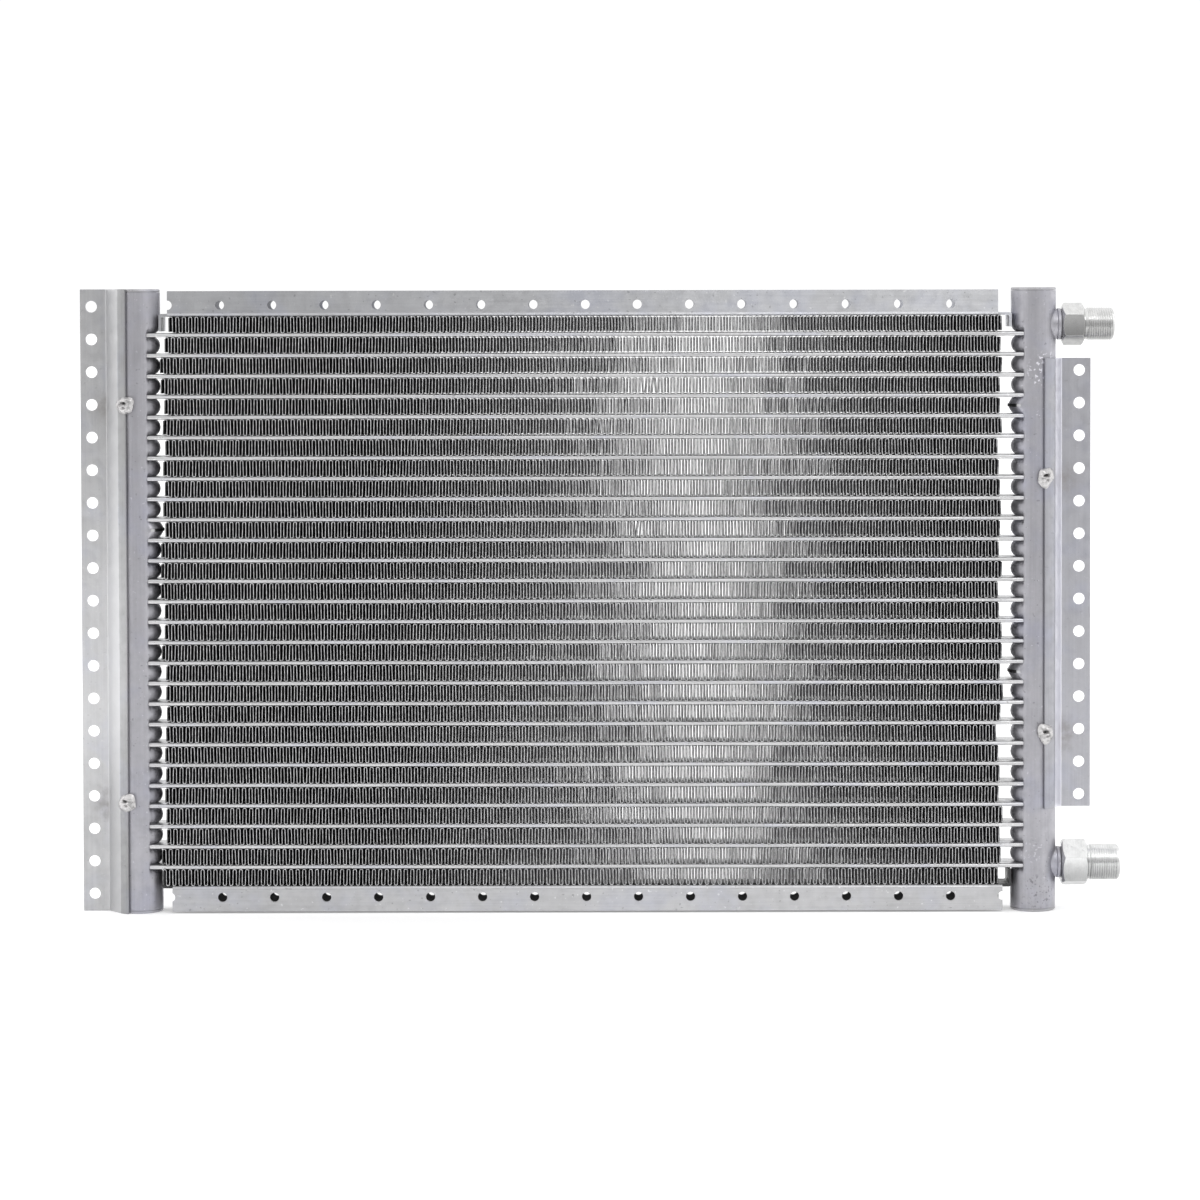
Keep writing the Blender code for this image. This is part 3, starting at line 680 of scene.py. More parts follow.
def make_header(side, material):
    angles = header_columns()
    heights = header_rows()
    baffles = [
        middle(name).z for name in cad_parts
        if name.endswith("baffle") and name.startswith(side)
    ]
    outer = header_radius(angles, heights, baffles)
    rng = np.random.default_rng(7 if side == "left" else 8)
    sag = smooth_noise(heights, 0.035, rng) * 0.00012
    outer = outer + sag[:, None]
    inner = outer - HEADER_WALL
    rings = []
    for radius, rows in ((outer, range(len(heights))), (inner, reversed(range(len(heights))))):
        for i in rows:
            ring = np.empty((len(angles), 3))
            ring[:, 0] = HEADER_X[side] + TO_CORE[side] * radius[i] * np.cos(angles)
            ring[:, 1] = radius[i] * np.sin(angles)
            ring[:, 2] = heights[i]
            rings.append(ring)
    header = new_piece(side + "_header_pipe", skin(rings, looped=True), material, sharp=50)
    if side == "right":
        for level in PORTS:
            outline = circle((0, middle(level + "_port_boss").z), PORT_BORE, 48)
            hole = extruded(outline, HEADER_X[side] + 0.004, HEADER_X[side] + 0.020, axis=0)
            carve(header, hole, sharp=50)
    stand_for(header, "header", "header_" + side)


def make_end_caps(side, material):
    """Pressed lids with a rounded rim, let into the pipe, with a shallow dish in the middle."""
    thick = HEADER_LOW.z - BASE_Z
    rim = thick * 0.55
    inner = HEADER_RADIUS - HEADER_WALL - LID_GAP
    profile = [(inner, -LID_SPIGOT), (inner, 0.00005), (HEADER_RADIUS - 0.0001, 0.00015)]
    profile += arc((HEADER_RADIUS - rim, thick - rim), rim, 0, math.pi / 2, 6)
    profile += [(0.0078, thick), (0.0072, thick - LID_DISH), (0.0012, thick - LID_DISH)]
    shell = turned(profile, 72)
    for level, height, turn in (("top", HEADER_HIGH.z, 0), ("bottom", HEADER_LOW.z, math.pi)):
        place = stance(HEADER_X[side], height, turn, "X")
        lid = new_piece(f"{side}_{level}_lid", moved(shell, place), material)
        stand_for(lid, "header", f"{side}_{level}_cap")


def make_baffle(node, side, material):
    """The lip of a baffle, brazed into its slot, with a slightly ragged edge."""
    low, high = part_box(node)
    reach = HEADER_RADIUS + BAFFLE_LIP
    rng = np.random.default_rng(len(node))
    angles = np.linspace(math.radians(-54), math.radians(54), 37)
    ragged = reach + smooth_noise(angles, 0.12, rng) * 0.00012
    lip = np.stack([TO_CORE[side] * ragged * np.cos(angles), ragged * np.sin(angles)], axis=-1)
    rest = arc((0, 0), HEADER_RADIUS - HEADER_WALL - 0.0003, math.radians(56), math.radians(304), 40)
    rest = [(TO_CORE[side] * x, y) for x, y in rest]
    outline = np.array(lip.tolist() + rest) + np.array([HEADER_X[side], 0])
    shell = extruded(outline, low.z, high.z, axis=2)
    lip_piece = new_piece(node + "_lip", shell, material)
    round_edges(lip_piece, 0.00025)
    stand_for(lip_piece, "plate", node)


# ---- Core ----

def make_tube(node, order, material):
    """A flat tube with round noses, very slightly wavy, running into both headers."""
    low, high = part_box(node)
    rng = np.random.default_rng(500 + order)
    nose = TUBE_THICKNESS / 2
    reach = TUBE_DEPTH / 2 - nose
    outline = arc((reach, 0), nose, -math.pi / 2, math.pi / 2, 8)
    outline += arc((-reach, 0), nose, math.pi / 2, 3 * math.pi / 2, 8)
    outline = np.array(outline)
    places = np.linspace(low.x, high.x, 109)
    wave = smooth_noise(places, 0.03, rng) * 0.00008 + smooth_noise(places, 0.006, rng) * 0.00003
    swell = 1 + smooth_noise(places, 0.008, rng) * 0.03
    rings = np.empty((len(places), len(outline), 3))
    rings[:, :, 0] = places[:, None]
    rings[:, :, 1] = outline[:, 0] + smooth_noise(places, 0.02, rng)[:, None] * 0.00006
    rings[:, :, 2] = middle(node).z + wave[:, None] + outline[:, 1] * swell[:, None]
    tube = new_piece("flat_" + node, skin(rings), material, sharp=50)
    stand_for(tube, "tube", node)


BOX_FACES = np.array([
    (0, 1, 3, 2), (4, 6, 7, 5), (0, 4, 5, 1), (2, 3, 7, 6), (0, 2, 6, 4), (1, 5, 7, 3),
])


def leg_boxes():
    """Louvres and plain strips of one fin leg: (slats, 8, 3) points of across, depth and height."""
    boxes = []
    half = FIN_HALF_DEPTH
    strips = (
        (-half, -half + FIN_STRIP),
        (-FIN_CENTRE_STRIP / 2, FIN_CENTRE_STRIP / 2),
        (half - FIN_STRIP, half),
    )
    bank = half - FIN_STRIP - FIN_CENTRE_STRIP / 2
    width = bank / LOUVRES_EACH_BANK
    slats = [((low + high) / 2, (high - low) / 2, 0.0) for low, high in strips]
    for i in range(LOUVRES_EACH_BANK):
        centre = FIN_CENTRE_STRIP / 2 + width * (i + 0.5)
        slats += [(-centre, width / 2, LOUVRE_TURN), (centre, width / 2, -LOUVRE_TURN)]
    for centre, reach, turn in slats:
        corners = []
        for across in (-FOIL / 2, FOIL / 2):
            for depth in (-reach, reach):
                for height in (-LOUVRE_HALF_LENGTH, LOUVRE_HALF_LENGTH):
                    corners.append((
                        across * math.cos(turn) + depth * math.sin(turn),
                        centre + depth * math.cos(turn) - across * math.sin(turn),
                        height,
                    ))
        boxes.append(corners)
    return np.array(boxes)


def crest_faces():
    """Faces of the crest that joins two legs, over points ordered step, skin, then depth."""
    faces = []
    last = CREST_STEPS + 2
    for k in range(last):
        a, b = 4 * k, 4 * (k + 1)
        faces += [(a, b, b + 1, a + 1), (a + 2, a + 3, b + 3, b + 2)]
        faces += [(a, a + 2, b + 2, b), (a + 1, b + 1, b + 3, a + 3)]
    end = 4 * last
    faces += [(0, 1, 3, 2), (end, end + 2, end + 3, end + 1)]
    return np.array(faces)


def fin_stance(row, starts, rng):
    """How each leg of a row stands: its yaw, lean and bend of the front edge."""
    count = len(starts)
    yaw = FOLD_YAW + smooth_noise(starts, 0.045, rng) * 0.00006
    yaw += smooth_noise(starts, 0.006, rng) * 0.00006 + rng.uniform(-1, 1, count) * 0.00004
    lean = smooth_noise(starts, 0.012, rng) * 0.00010 + rng.uniform(-1, 1, count) * 0.00004
    lean += np.where(np.arange(count) % 2 == 0, 1, -1) * 0.00003
    bend = rng.uniform(-1, 1, count) * 0.00005
    for dent_row, dent_x, reach, strength in DENTS:
        if dent_row == row:
            near = np.exp(-((starts - dent_x) / reach) ** 2)
            bend += near * strength * (1 + 0.5 * rng.uniform(-1, 1, count))
            lean += near * rng.uniform(-1, 1, count) * 0.0004
    return yaw, lean, bend


class FinRow:
    """One folded foil strip: legs with two opposed banks of louvres, joined by round crests."""

    def __init__(self, row):
        rng = np.random.default_rng(100 + row)
        start = FIN_LOW.x + rng.uniform(-0.0017, 0.0012)
        end = FIN_HIGH.x + rng.uniform(-0.0007, 0.0017)
        if row == 0:
            start = FIN_LOW.x + TOP_ROW_INSET
        count = int((end - start - 2 * FOIL) / FIN_PITCH)
        starts = start + FIN_PITCH * (np.arange(count) + 0.3)
        starts += rng.uniform(-1, 1, count) * 0.00005 + smooth_noise(starts, 0.004, rng) * 0.00010
        self.starts = starts
        self.yaw, self.lean, self.bend = fin_stance(row, starts, rng)
        self.folds = np.arange(count - 1)
        self.up = np.where(self.folds % 2 == 0, 1.0, -1.0)

    def across(self, leg, depth, height):
        """Where a leg stands along the row at a depth and height."""
        forward = np.clip(-depth / FIN_HALF_DEPTH, 0, 1) ** 2
        shift = self.yaw[leg] * depth / FIN_HALF_DEPTH + self.lean[leg] * height / GAP_HALF
        bend = self.bend[leg] * forward * np.cos(height / GAP_HALF * 1.4)
        return self.starts[leg] + shift + bend

    def louvres(self):
        """Points and quads of all legs' plain strips and louvres."""
        boxes = leg_boxes()
        count = len(self.starts)
        points = np.broadcast_to(boxes, (count, *boxes.shape)).copy()
        legs = np.arange(count)[:, None, None]
        points[..., 0] += self.across(legs, points[..., 1], points[..., 2])
        quads = BOX_FACES + 8 * np.arange(count * len(boxes))[:, None, None]
        return points.reshape(-1, 3), quads.reshape(-1, 4)

    def crest_line(self, depth, offset):
        """The crests' round section at a depth, offset outwards from the foil's middle."""
        left = self.across(self.folds, depth, self.up * CREST_START)
        right = self.across(self.folds + 1, depth, self.up * CREST_START)
        centre = (left + right) / 2
        reach = (right - left) / 2
        line = []
        for turn in np.linspace(0, math.pi, CREST_STEPS + 1):
            height = CREST_START + (FIN_PITCH / 2 - FOIL / 2 + offset) * math.sin(turn)
            line.append((centre - (reach + offset) * math.cos(turn), height * self.up))
        return line

    def crests(self):
        """Points and quads of the crests, each with a foot that runs down to the louvres."""
        steps = CREST_STEPS + 3
        foot = LOUVRE_HALF_LENGTH * self.up
        points = np.empty((len(self.folds), steps, 2, 2, 3))
        for side, depth in enumerate((-FIN_HALF_DEPTH, FIN_HALF_DEPTH)):
            for shell, offset in enumerate((FOIL / 2, -FOIL / 2)):
                line = [(self.across(self.folds, depth, foot) - offset, foot)]
                line += self.crest_line(depth, offset)
                line.append((self.across(self.folds + 1, depth, foot) + offset, foot))
                points[:, :, shell, side, ::2] = np.array(line).transpose(2, 0, 1)
            points[:, :, :, side, 1] = depth
        pattern = crest_faces()
        quads = np.where((self.up > 0)[:, None, None], pattern, pattern[:, ::-1])
        quads = quads + 4 * steps * self.folds[:, None, None]
        return points.reshape(-1, 3), quads.reshape(-1, 4)

    def rib(self, depth):
        """Points and quads of the rolled edge along the front or the back."""
        line = self.crest_line(depth, 0)
        line.append((self.across(self.folds + 1, depth, 0 * self.up), 0 * self.up))
        points, quads = rolled_edge(np.array(line).transpose(2, 0, 1).reshape(-1, 2), depth)
        return points, np.array(quads)

    def whole(self):
        """Points and quads of the strip, about the middle of its row."""
        parts = [self.louvres(), self.crests(), self.rib(-FIN_HALF_DEPTH), self.rib(FIN_HALF_DEPTH)]
        firsts = np.cumsum([0] + [len(points) for points, _ in parts])
        quads = np.concatenate([faces + first for (_, faces), first in zip(parts, firsts)])
        return np.concatenate([points for points, _ in parts]), quads


def rolled_edge(path, depth):
    """The blunt sheared edge of a folded foil, a thin rib along its whole serpentine path."""
    along = np.gradient(path, axis=0)
    along /= np.linalg.norm(along, axis=1)[:, None]
    beside = np.stack([-along[:, 1], along[:, 0]], axis=-1) * EDGE_HALF_WIDTH
    outward = math.copysign(1, depth)
    rings = np.empty((len(path), 4, 3))
    for i, (share, place) in enumerate((
        (0, depth + outward * EDGE_REACH), (1, depth), (0, depth - outward * EDGE_DEPTH), (-1, depth),
    )):
        rings[:, i, 0] = path[:, 0] + share * beside[:, 0]
        rings[:, i, 1] = place
        rings[:, i, 2] = path[:, 1] + share * beside[:, 1]
    return skin(rings)


def quad_mesh(name, points, quads):
    """A mesh from arrays, which is quicker than from lists for the fins' many faces."""
    mesh = bpy.data.meshes.new(name)
    mesh.vertices.add(len(points))
    mesh.vertices.foreach_set("co", points.astype(np.float32).ravel())
    mesh.loops.add(quads.size)
    mesh.loops.foreach_set("vertex_index", quads.astype(np.int32).ravel())
    mesh.polygons.add(len(quads))
    mesh.polygons.foreach_set("loop_start", np.arange(0, quads.size, 4, dtype=np.int32))
    mesh.update(calc_edges=True)
    mesh.validate()
    return mesh


def pass_of(row):
    """The CAD fin pack that holds a row."""
    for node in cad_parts:
        if node.startswith("fin_pack"):
            low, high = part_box(node)
            if low.z < ROW_Z[row] < high.z:
                return node
    raise ValueError(f"no fin pack holds row {row}")


def make_fin_row(row, material):
    points, quads = FinRow(row).whole()
    points[:, 2] += ROW_Z[row]
    mesh = quad_mesh(f"fin_row_{row + 1:02d}", points, quads)
    mesh.materials.append(material)
    shade(mesh, 40)
    stand_for(place_in_scene(mesh.name, mesh), "fin", pass_of(row))


# ---- Side plates ----

def make_side_plate(level, material):
    """A perforated channel, with tongues that run on to both headers and fold on to them."""
    node = level + "_side_plate"
    low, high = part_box(node)
    up = 1 if level == "top" else -1
    core_z = (TUBE_Z[0] + TUBE_Z[-1]) / 2
    web = TUBE_PITCH * (TUBE_COUNT + 1) / 2 - TUBE_THICKNESS / 2
    edge = abs((high.z if up > 0 else low.z) - core_z)
    half = (high.y - low.y) / 2
    sheet = PLATE_SHEET
    outer = PLATE_OUTER_BEND
    inner = PLATE_INNER_BEND
    quarter = math.pi / 2
    outline = [(-half, edge)]
    outline += arc((-half + outer, web + outer), outer, 2 * quarter, 3 * quarter, 6)
    outline += arc((half - outer, web + outer), outer, 3 * quarter, 4 * quarter, 6)
    outline += [(half, edge), (half - sheet, edge)]
    outline += arc((half - sheet - inner, web + sheet + inner), inner, 0, -quarter, 5)
    outline += arc((-half + sheet + inner, web + sheet + inner), inner, -quarter, -2 * quarter, 5)
    outline += [(-half + sheet, edge)]
    channel = extruded(outline, *PLATE_ENDS[level], axis=0, steps=40)
    rng = np.random.default_rng(31 if up > 0 else 32)
    bow = smooth_noise(channel[0][:, 0], 0.05, rng) * 0.00010
    channel[0][:, 1] += bow * (channel[0][:, 2] - web) / (edge - web)
    place = stance(CORE_X, core_z, 0 if up > 0 else math.pi, "X")
    plate = new_piece(level + "_channel", moved(channel, place), material)

    hole_z = edge - PLATE_HOLE_DROP
    holes = []
    for k in range(-PLATE_HOLES_EACH_SIDE, PLATE_HOLES_EACH_SIDE + 1):
        outline = circle((k * PLATE_HOLE_PITCH, hole_z), PLATE_HOLE_RADIUS, 28)
        holes.append(extruded(outline, -half - 0.002, half + 0.002, axis=1))
    carve(plate, moved(joined(holes), place))
    round_edges(plate, 0.00018)
    flatten_faces(plate)
    stand_for(plate, "plate", node)
    make_tongues(level, place, web, node, material)


def make_tongues(level, place, web, node, material):
    """The web's narrow ends, folded down into tabs that lie brazed on the headers."""
    face = HEADER_X["right"] - CORE_X - HEADER_RADIUS - BRACKET_GAP
    sheet = PLATE_SHEET * 0.97
    bend = TONGUE_BEND
    under = web + 0.00003
    for side, drop in TONGUE_DROP[level].items():
        outline = [(face - TONGUE_LENGTH, under)]
        outline += [(face - sheet - TONGUE_CHAMFER, under), (face - sheet, web - TONGUE_CHAMFER)]
        outline += [(face - sheet, web - drop), (face, web - drop)]
        outline += arc((face - bend, web + sheet - bend), bend, 0, math.pi / 2, 6)
        outline += [(face - TONGUE_LENGTH, web + sheet)]
        outline = [(-TO_CORE[side] * x, z) for x, z in outline]
        shell = extruded(outline, -TONGUE_HALF_WIDTH, TONGUE_HALF_WIDTH, axis=1)
        tongue = new_piece(f"{level}_{side}_tongue", moved(shell, place), material)
        round_edges(tongue, 0.00018)
        flatten_faces(tongue)
        stand_for(tongue, "plate", node)


# ---- Mounting brackets ----

def bracket_outline(side):
    """The section of a bracket about its header's axis, its flange towards +X."""
    leave, lean = BRACKET_WEB[side]
    inner = HEADER_RADIUS + BRACKET_GAP
    outer = inner + BRACKET_WALL
    half = BRACKET_SHEET / 2
    foot = outer * math.cos(leave) + (outer * math.sin(leave) - half) * math.tan(lean)
    fillet_x = foot + BRACKET_FILLET * math.tan((math.pi / 2 - lean) / 2)
    fillet_y = half + BRACKET_FILLET
    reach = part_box("right_bracket")[1].x - HEADER_X["right"]
    outline = arc((0, 0), inner, BRACKET_WRAP, -BRACKET_WRAP, 30)
    outline += arc((0, 0), outer, -BRACKET_WRAP, -leave, 12)
    outline += arc((fillet_x, -fillet_y), BRACKET_FILLET, math.pi - lean, math.pi / 2, 6)
    outline += [(reach, -half), (reach, half)]
    outline += arc((fillet_x, fillet_y), BRACKET_FILLET, -math.pi / 2, lean - math.pi, 6)
    outline += arc((0, 0), outer, leave, BRACKET_WRAP, 12)
    return outline


def make_bracket(side, material):
    """An extruded saddle and flange with round holes, its edges rounded by wear."""
    node = side + "_bracket"
    low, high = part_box(node)
    place = stance(HEADER_X[side], 0, 0 if side == "right" else math.pi, "Z")
    shell = extruded(bracket_outline(side), low.z, high.z, axis=2)
    bracket = new_piece(side + "_flange", moved(shell, place), material)
    count = round((high.z - low.z) / BRACKET_HOLE_PITCH)
    first = (low.z + high.z) / 2 - BRACKET_HOLE_PITCH * (count - 1) / 2
    holes = []
    for i in range(count):
        centre = (BRACKET_HOLE_OFFSET, first + i * BRACKET_HOLE_PITCH)
        holes.append(extruded(circle(centre, BRACKET_HOLE_RADIUS, 36), -0.004, 0.004, axis=1))
    carve(bracket, moved(joined(holes), place))
    round_edges(bracket, 0.00022)
    flatten_faces(bracket)
    stand_for(bracket, "bracket", node)


def weld_facing(node):
    """A weld's header axis and the direction from it to the weld."""
    centre = middle(node)
    axis_x = HEADER_X[node.split("_")[0]]
    return axis_x, math.atan2(centre.y, centre.x - axis_x)


def crater_points():
    """Places along each weld's main crater, which are darkened to near black."""
    points = []
    x, z, wide, _, _ = WELD_CRATERS[0]
    for node in WELD_NODES:
        axis_x, facing = weld_facing(node)
        for share in (-0.7, 0.0, 0.7):
            angle = facing + (x + share * wide) / WELD_SEAT
            points.append((
                axis_x + WELD_SEAT * math.cos(angle), WELD_SEAT * math.sin(angle), middle(node).z + z,
            ))
    return points


def make_weld(node, seed, material):
    """A lumpy tack weld with a ragged rim and shrinkage craters, over a saddle's lip."""
    rng = np.random.default_rng(seed)
    axis_x, facing = weld_facing(node)
    turns = np.arange(56) * math.tau / 56
    rim = WELD_RADIUS * (1 + 0.10 * np.sin(2 * turns + rng.uniform(0, 6))
                         + 0.07 * np.sin(3 * turns + rng.uniform(0, 6))
                         + 0.05 * np.sin(5 * turns + rng.uniform(0, 6)))
    share = np.linspace(0.02, 1, 22)[:, None]
    u = share * rim * np.cos(turns)
    v = share * rim * np.sin(turns)
    height = WELD_HEIGHT * (1 - share ** 2.6) + 0 * u
    for x, z, wide, tall, deep in WELD_CRATERS:
        height -= deep * np.exp(-((u - x) / wide) ** 2 - ((v - z) / tall) ** 2)
    for _ in range(WELD_LUMPS):
        x, z = rng.uniform(-0.0034, 0.0034, 2)
        size = rng.uniform(0.0004, 0.0009)
        height += rng.uniform(-0.0002, 0.00045) * np.exp(-((u - x) ** 2 + (v - z) ** 2) / size ** 2)
    grid = np.stack([u, v, np.maximum(height, -0.0002)], axis=-1)
    skirt = grid[-1] * (0.9, 0.9, 1.0) - (0, 0, WELD_SKIRT)
    grid = np.concatenate([grid, skirt[None]])
    angle = facing + grid[..., 0] / (WELD_SEAT - 0.0002)
    radius = WELD_SEAT + grid[..., 2]
    points = np.stack(
        [axis_x + radius * np.cos(angle), radius * np.sin(angle), middle(node).z + grid[..., 1]],
        axis=-1,
    )
    weld = new_piece(node + "_bead", skin(points), material, sharp=60)
    stand_for(weld, "weld", node)


# ---- Ports ----

def along_x(level):
    """Where a piece turned about Z goes to stand out of the right header along +X."""
    return stance(HEADER_X["right"], middle(level + "_port_boss").z, math.pi / 2, "Y")


def make_boss(level, material):
    """A short collared neck whose brazed foot blends into the pipe."""
    turns = np.arange(96) * math.tau / 96
    neck = BOSS_NECK
    foot = neck + BOSS_FILLET
    on_pipe = np.sqrt(HEADER_RADIUS ** 2 - (neck * np.sin(turns)) ** 2)
    foot_on_pipe = np.sqrt(HEADER_RADIUS ** 2 - (foot * np.sin(turns)) ** 2) - 0.00015
    rows = []
    for t in np.linspace(0, 1, 9):
        radius = (1 - t) ** 2 * foot + (1 - (1 - t) ** 2) * neck
        height = (1 - t ** 2) * ((1 - t) * foot_on_pipe + t * on_pipe) + t ** 2 * (
            np.minimum(on_pipe + BOSS_FILLET, BOSS_COLLAR))
        rows.append((radius + 0 * turns, height))
    for radius, height in (
        (neck, BOSS_COLLAR), (BOSS_RADIUS, BOSS_COLLAR + 0.0004), (BOSS_RADIUS, BOSS_FACE - 0.0005),
        (BOSS_RADIUS - 0.0004, BOSS_FACE), (SEAT_RADIUS, BOSS_FACE),
        (SEAT_RADIUS, BOSS_FACE - SEAT_DEPTH), (PORT_BORE, BOSS_FACE - SEAT_DEPTH),
        (PORT_BORE, BOSS_ROOT), (neck - 0.0004, BOSS_ROOT),
    ):
        rows.append((radius + 0 * turns, height + 0 * turns))
    rings = np.array([
        np.stack([-radius * np.cos(turns), radius * np.sin(turns), height], axis=-1)
        for radius, height in rows
    ])
    boss = new_piece(level + "_port_neck", moved(skin(rings, looped=True), along_x(level)), material)
    stand_for(boss, "header", level + "_port_boss")


def thread_shell(port, steps=96):
    """A helical thread from the hexagon to the chamfered tip, then back down the bore."""
    tip = port["tip"]
    radius = port["thread"]
    root = radius - THREAD_DEPTH
    start = port["hex_end"] - 0.0006
    relief_end = port["hex_end"] + THREAD_RELIEF
    turns = np.arange(steps) * math.tau / steps
    rings = [(root - 0.0002, start), (root - 0.0002, relief_end - 0.0003)]
    for height in np.arange(relief_end, tip - 0.0002, THREAD_PITCH / 8):
        phase = (height / THREAD_PITCH - turns / math.tau) % 1
        tooth = np.clip(1.6 - np.abs(phase - 0.5) * 4, 0, 1)
        chamfer = radius - max(0.0, height - (tip - THREAD_CHAMFER))
        lead = root + (height - relief_end) * 1.2
        rings.append((np.minimum(root + THREAD_DEPTH * tooth, min(chamfer, lead)), height))
    rings.append((radius - 0.0012, tip))
    cone = (port["mouth"] - port["bore"]) / math.tan(CONE_SLOPE)
    spigot = port["bore"] + SPIGOT_WALL
    rings += [
        (port["mouth"] + 0.00025, tip), (port["mouth"], tip - 0.0003), (port["bore"], tip - cone),
        (port["bore"], SPIGOT_START), (spigot, SPIGOT_START), (spigot, start),
    ]
    return turned(rings, steps, looped=True)


def make_adapter(level, material):
    """Hexagon with turned crowns, a helical male thread and a coned bore."""
    port = PORTS[level]
    place = along_x(level)
    face = BOSS_FACE + HEX_GAP
    end = port["hex_end"]
    corner = port["flats"] / 2 / math.cos(math.pi / 6)
    angles = [port["turn"] + k * math.pi / 3 for k in range(6)]
    outline = [(corner * math.cos(a), corner * math.sin(a)) for a in angles]
    shell = extruded(outline, face, end, axis=2)
    hexagon = new_piece(level + "_port_hexagon", moved(shell, place), material, sharp=20)
    crown = port["flats"] / 2 - HEX_CROWN_INSET
    rim = corner + 0.0004
    drop = (rim - crown) * math.tan(HEX_CROWN_SLOPE)
    profile = [
        (0.0020, face), (crown, face), (rim, face + drop), (rim, end - drop), (crown, end),
        (0.0020, end),
    ]
    carve(hexagon, moved(turned(profile, 96), place), "INTERSECT", sharp=20)
    bore = extruded(circle((0, 0), port["bore"] + 0.0010, 48), face - 0.002, end + 0.002, axis=2)
    carve(hexagon, moved(bore, place), sharp=20)
    round_edges(hexagon, 0.00022, angle=18, sharp=35)
    flatten_faces(hexagon)
    thread = moved(thread_shell(port), place)
    nipple = new_piece(level + "_port_thread", thread, material, sharp=50)
    for piece in (hexagon, nipple):
        stand_for(piece, "fitting", level + "_port_adapter")


# ---- Stage ----

def make_world():
    """Plain studio surroundings: a white backdrop, bright sides and a darker camera side."""
    world = bpy.data.worlds.new("studio")
    bpy.context.scene.world = world
    world.use_nodes = True
    studio = Nodes(world.node_tree, "Generated")
    x, y, z = (studio.axis(name) for name in "XYZ")

    ahead = studio.span(y, -0.985, -0.50, 0.56, 1.0)
    around = studio.math("MAXIMUM", ahead, studio.span(z, 0.20, 0.60, 0.0, 1.0))
    around = studio.math("MULTIPLY", around, studio.span(z, 0.2, 0.8, 1.0, 1.15))
    around = studio.math("MULTIPLY", around, studio.span(x, -0.9, -0.3, 1.15, 1.0))
    sideways = studio.span(studio.math("MULTIPLY", x, x), 0.45, 0.75)
    glow = studio.math("MULTIPLY", sideways, studio.span(y, 0.00, 0.35))
    glow = studio.math("MULTIPLY", glow, studio.span(y, 0.50, 0.75, 1.0, 0.0))
    around = studio.math("ADD", around, glow)
    backdrop = studio.span(y, 0.86, 0.95, 0.0, 1.05)
    background = world.node_tree.nodes["Background"]
    studio.feed(background.inputs["Strength"], studio.math("MAXIMUM", around, backdrop))
    studio.feed(background.inputs["Color"], (1.0, 1.0, 1.0))


def make_floor():
    """White paper that glows a little, cut off in front so that it lights the front less."""
    finish = Finish("floor_paper", 0.9, 0.0)
    finish.base = finish.mix(finish.noise(0.4, 2.0), (0.90, 0.90, 0.90), (0.92, 0.92, 0.92))
    finish.give("Emission Color", (1.0, 1.0, 1.0))
    finish.give("Emission Strength", FLOOR_GLOW)
    corners = np.array([
        (-FLOOR_REACH, FLOOR_FRONT, BASE_Z), (FLOOR_REACH, FLOOR_FRONT, BASE_Z),
        (FLOOR_REACH, FLOOR_REACH, BASE_Z), (-FLOOR_REACH, FLOOR_REACH, BASE_Z),
    ])
    mesh = mesh_of("floor", (corners, [(0, 1, 2, 3)]))
    mesh.materials.append(finish.done())
    place_in_scene("floor", mesh)


def make_light():
    light = bpy.data.lights.new("key_softbox", "AREA")
    light.shape = "RECTANGLE"
    light.size, light.size_y = KEY_SIZE
    light.energy = KEY_POWER
    lamp = place_in_scene("key_softbox", light)
    lamp.location = KEY_PLACE
    lamp.rotation_euler = (KEY_AIM - KEY_PLACE).to_track_quat("-Z", "Y").to_euler()


def make_camera():
    camera = bpy.data.cameras.new("camera")
    camera.sensor_width = CAMERA_SENSOR
    camera.lens = CAMERA_LENS
    camera.shift_x, camera.shift_y = CAMERA_SHIFT
    camera.clip_start = 0.05
    camera.clip_end = 100.0
    eye = place_in_scene("camera", camera)
    eye.location = CAMERA_PLACE
    eye.rotation_euler = CAMERA_TURN
    bpy.context.scene.camera = eye


# ---- Assembly ----

def weld_stains(side):
    """Heat tints on a bracket's flange beside its welds."""
    outward = -TO_CORE[side]
    return [
        ((HEADER_X[side] + outward * 0.0145, -0.001, middle(f"{side}_front_weld_{i}").z - 0.001),
         0.013, 0.55)
        for i in (1, 2)
    ]


header_finish = mill_metal(
    "header_aluminium", (0.43, 0.425, 0.455), 0.46, along=2, mottle=0.05, spatter=HEADER_SPATTER,
)
lid_finish = mill_metal("lid_aluminium", (0.46, 0.455, 0.47), 0.45)
plate_finish = {
    "top": mill_metal("top_plate_aluminium", (0.68, 0.685, 0.705), 0.42, along=0, mottle=0.06,
                      fades=(("X", 0.20, -0.20, 0.66),)),
    # The bottom channel's inner faces get painted shade, set by inside.
    "bottom": mill_metal("bottom_plate_aluminium", (0.56, 0.56, 0.57), 0.42, along=0, mottle=0.05,
                         fades=(("X", 0.0, -0.20, 0.88),), inside=0.0090),
}
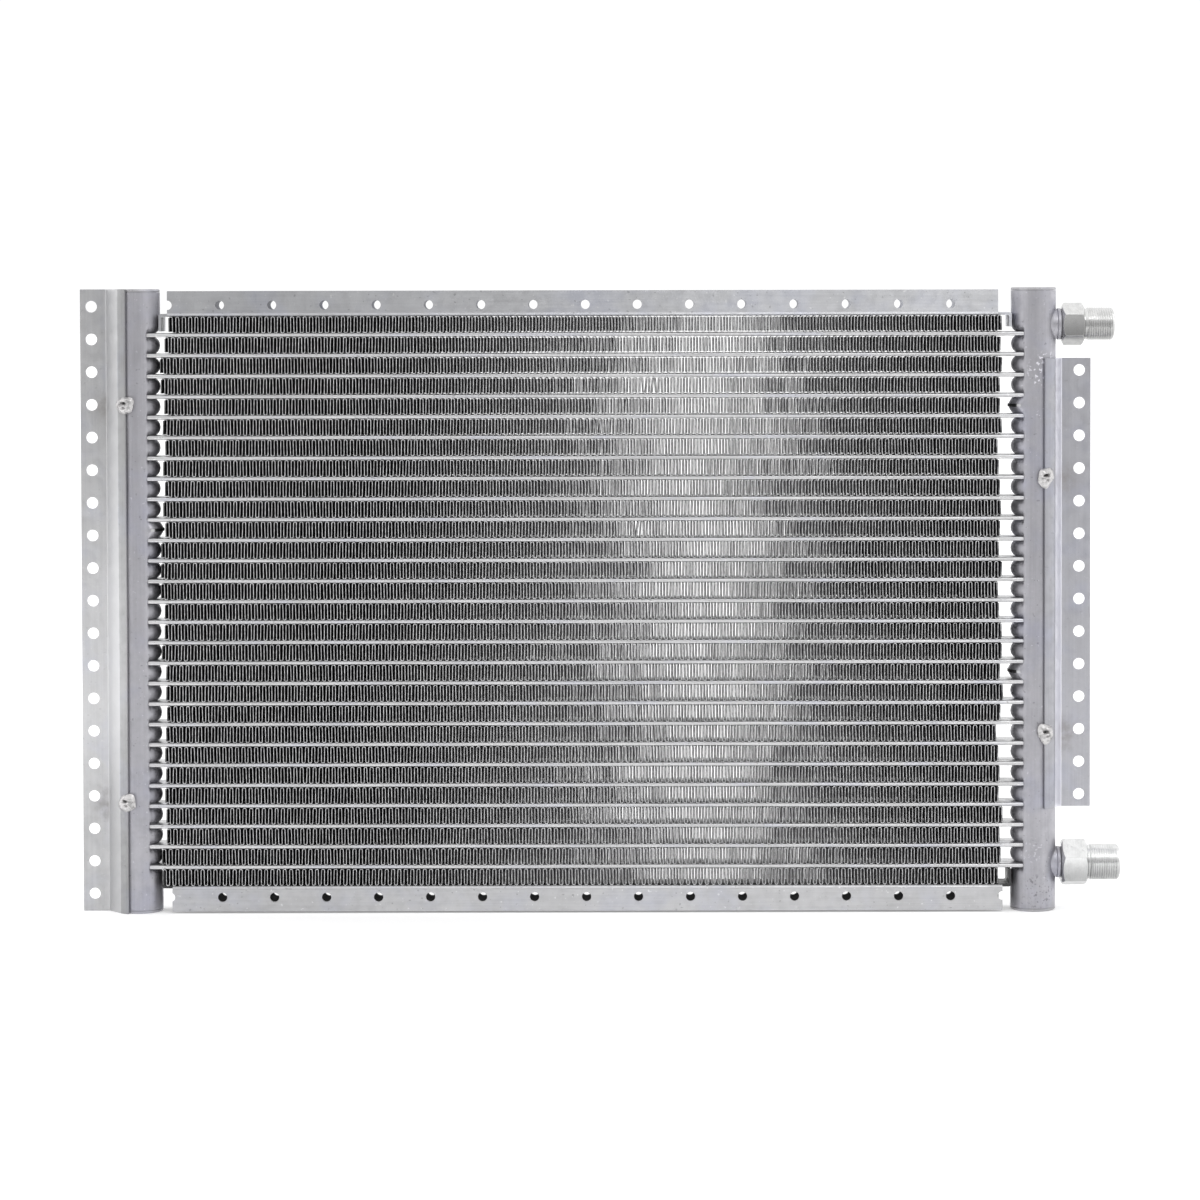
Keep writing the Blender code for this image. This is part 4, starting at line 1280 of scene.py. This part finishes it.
# shine is a painted highlight on each bracket's web; saddle is painted shade on its saddle.
bracket_finish = {
    side: mill_metal(
        side + "_bracket_aluminium", colour, 0.40, along=2, mottle=0.05, specks=0.2,
        tints=weld_stains(side), roughened=0.6, fades=(("Z", 0.12, 0.27, high), ("Z", 0.11, 0.03, low)),
        web_light_and_shade=(0.0007, web, shine, saddle),
    )
    for side, colour, high, low, web, shine, saddle in (
        ("left", (0.68, 0.68, 0.69), 0.76, 0.74, 0.0090, 1.02, 0.66),
        ("right", (0.46, 0.46, 0.49), 1.0, 0.95, 0.0076, 1.85, 0.86),
    )
}
tube_finish = mill_metal("tube_aluminium", (0.64, 0.64, 0.645), 0.34, along=0, mottle=0.10)
# Foil colours: painted light in the middle, painted shade at the sides, and the sheared edges.
fin_finish = fin_metal("fin_foil", (0.88, 0.88, 0.885), (0.08, 0.08, 0.085), (0.78, 0.78, 0.79))
weld_finish = weld_metal("weld_bead", (0.62, 0.61, 0.61))
# The last column dims each fitting below its middle height as painted shade.
fitting_finish = {
    level: machined_metal(level + "_fitting_steel", colour, 0.22,
                          middle(level + "_port_boss").z, painted_underside_shade)
    for level, colour, painted_underside_shade in (
        ("upper", (0.72, 0.72, 0.715), 0.58), ("lower", (0.80, 0.805, 0.805), 0.56),
    )
}
seal_finish = rubber("seal_rubber")

for header_side in ("left", "right"):
    make_header(header_side, header_finish)
    make_end_caps(header_side, lid_finish)
    make_bracket(header_side, bracket_finish[header_side])
for baffle_node in [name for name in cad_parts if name.endswith("baffle")]:
    make_baffle(baffle_node, baffle_node.split("_")[0], plate_finish["bottom"])
for tube_order, tube_node in enumerate(TUBE_NAMES):
    make_tube(tube_node, tube_order, tube_finish)
for fin_order in range(TUBE_COUNT + 1):
    make_fin_row(fin_order, fin_finish)
for plate_level in ("top", "bottom"):
    make_side_plate(plate_level, plate_finish[plate_level])
for weld_order, weld_node in enumerate(WELD_NODES):
    make_weld(weld_node, 900 + weld_order, weld_finish)
for port_level in PORTS:
    make_boss(port_level, header_finish)
    make_adapter(port_level, fitting_finish[port_level])
    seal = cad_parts[port_level + "_port_seal"]
    seal.data.materials.clear()
    seal.data.materials.append(seal_finish)
    seal.data.shade_smooth()

make_world()
make_floor()
make_light()
make_camera()
bpy.context.scene.view_settings.view_transform = "Standard"
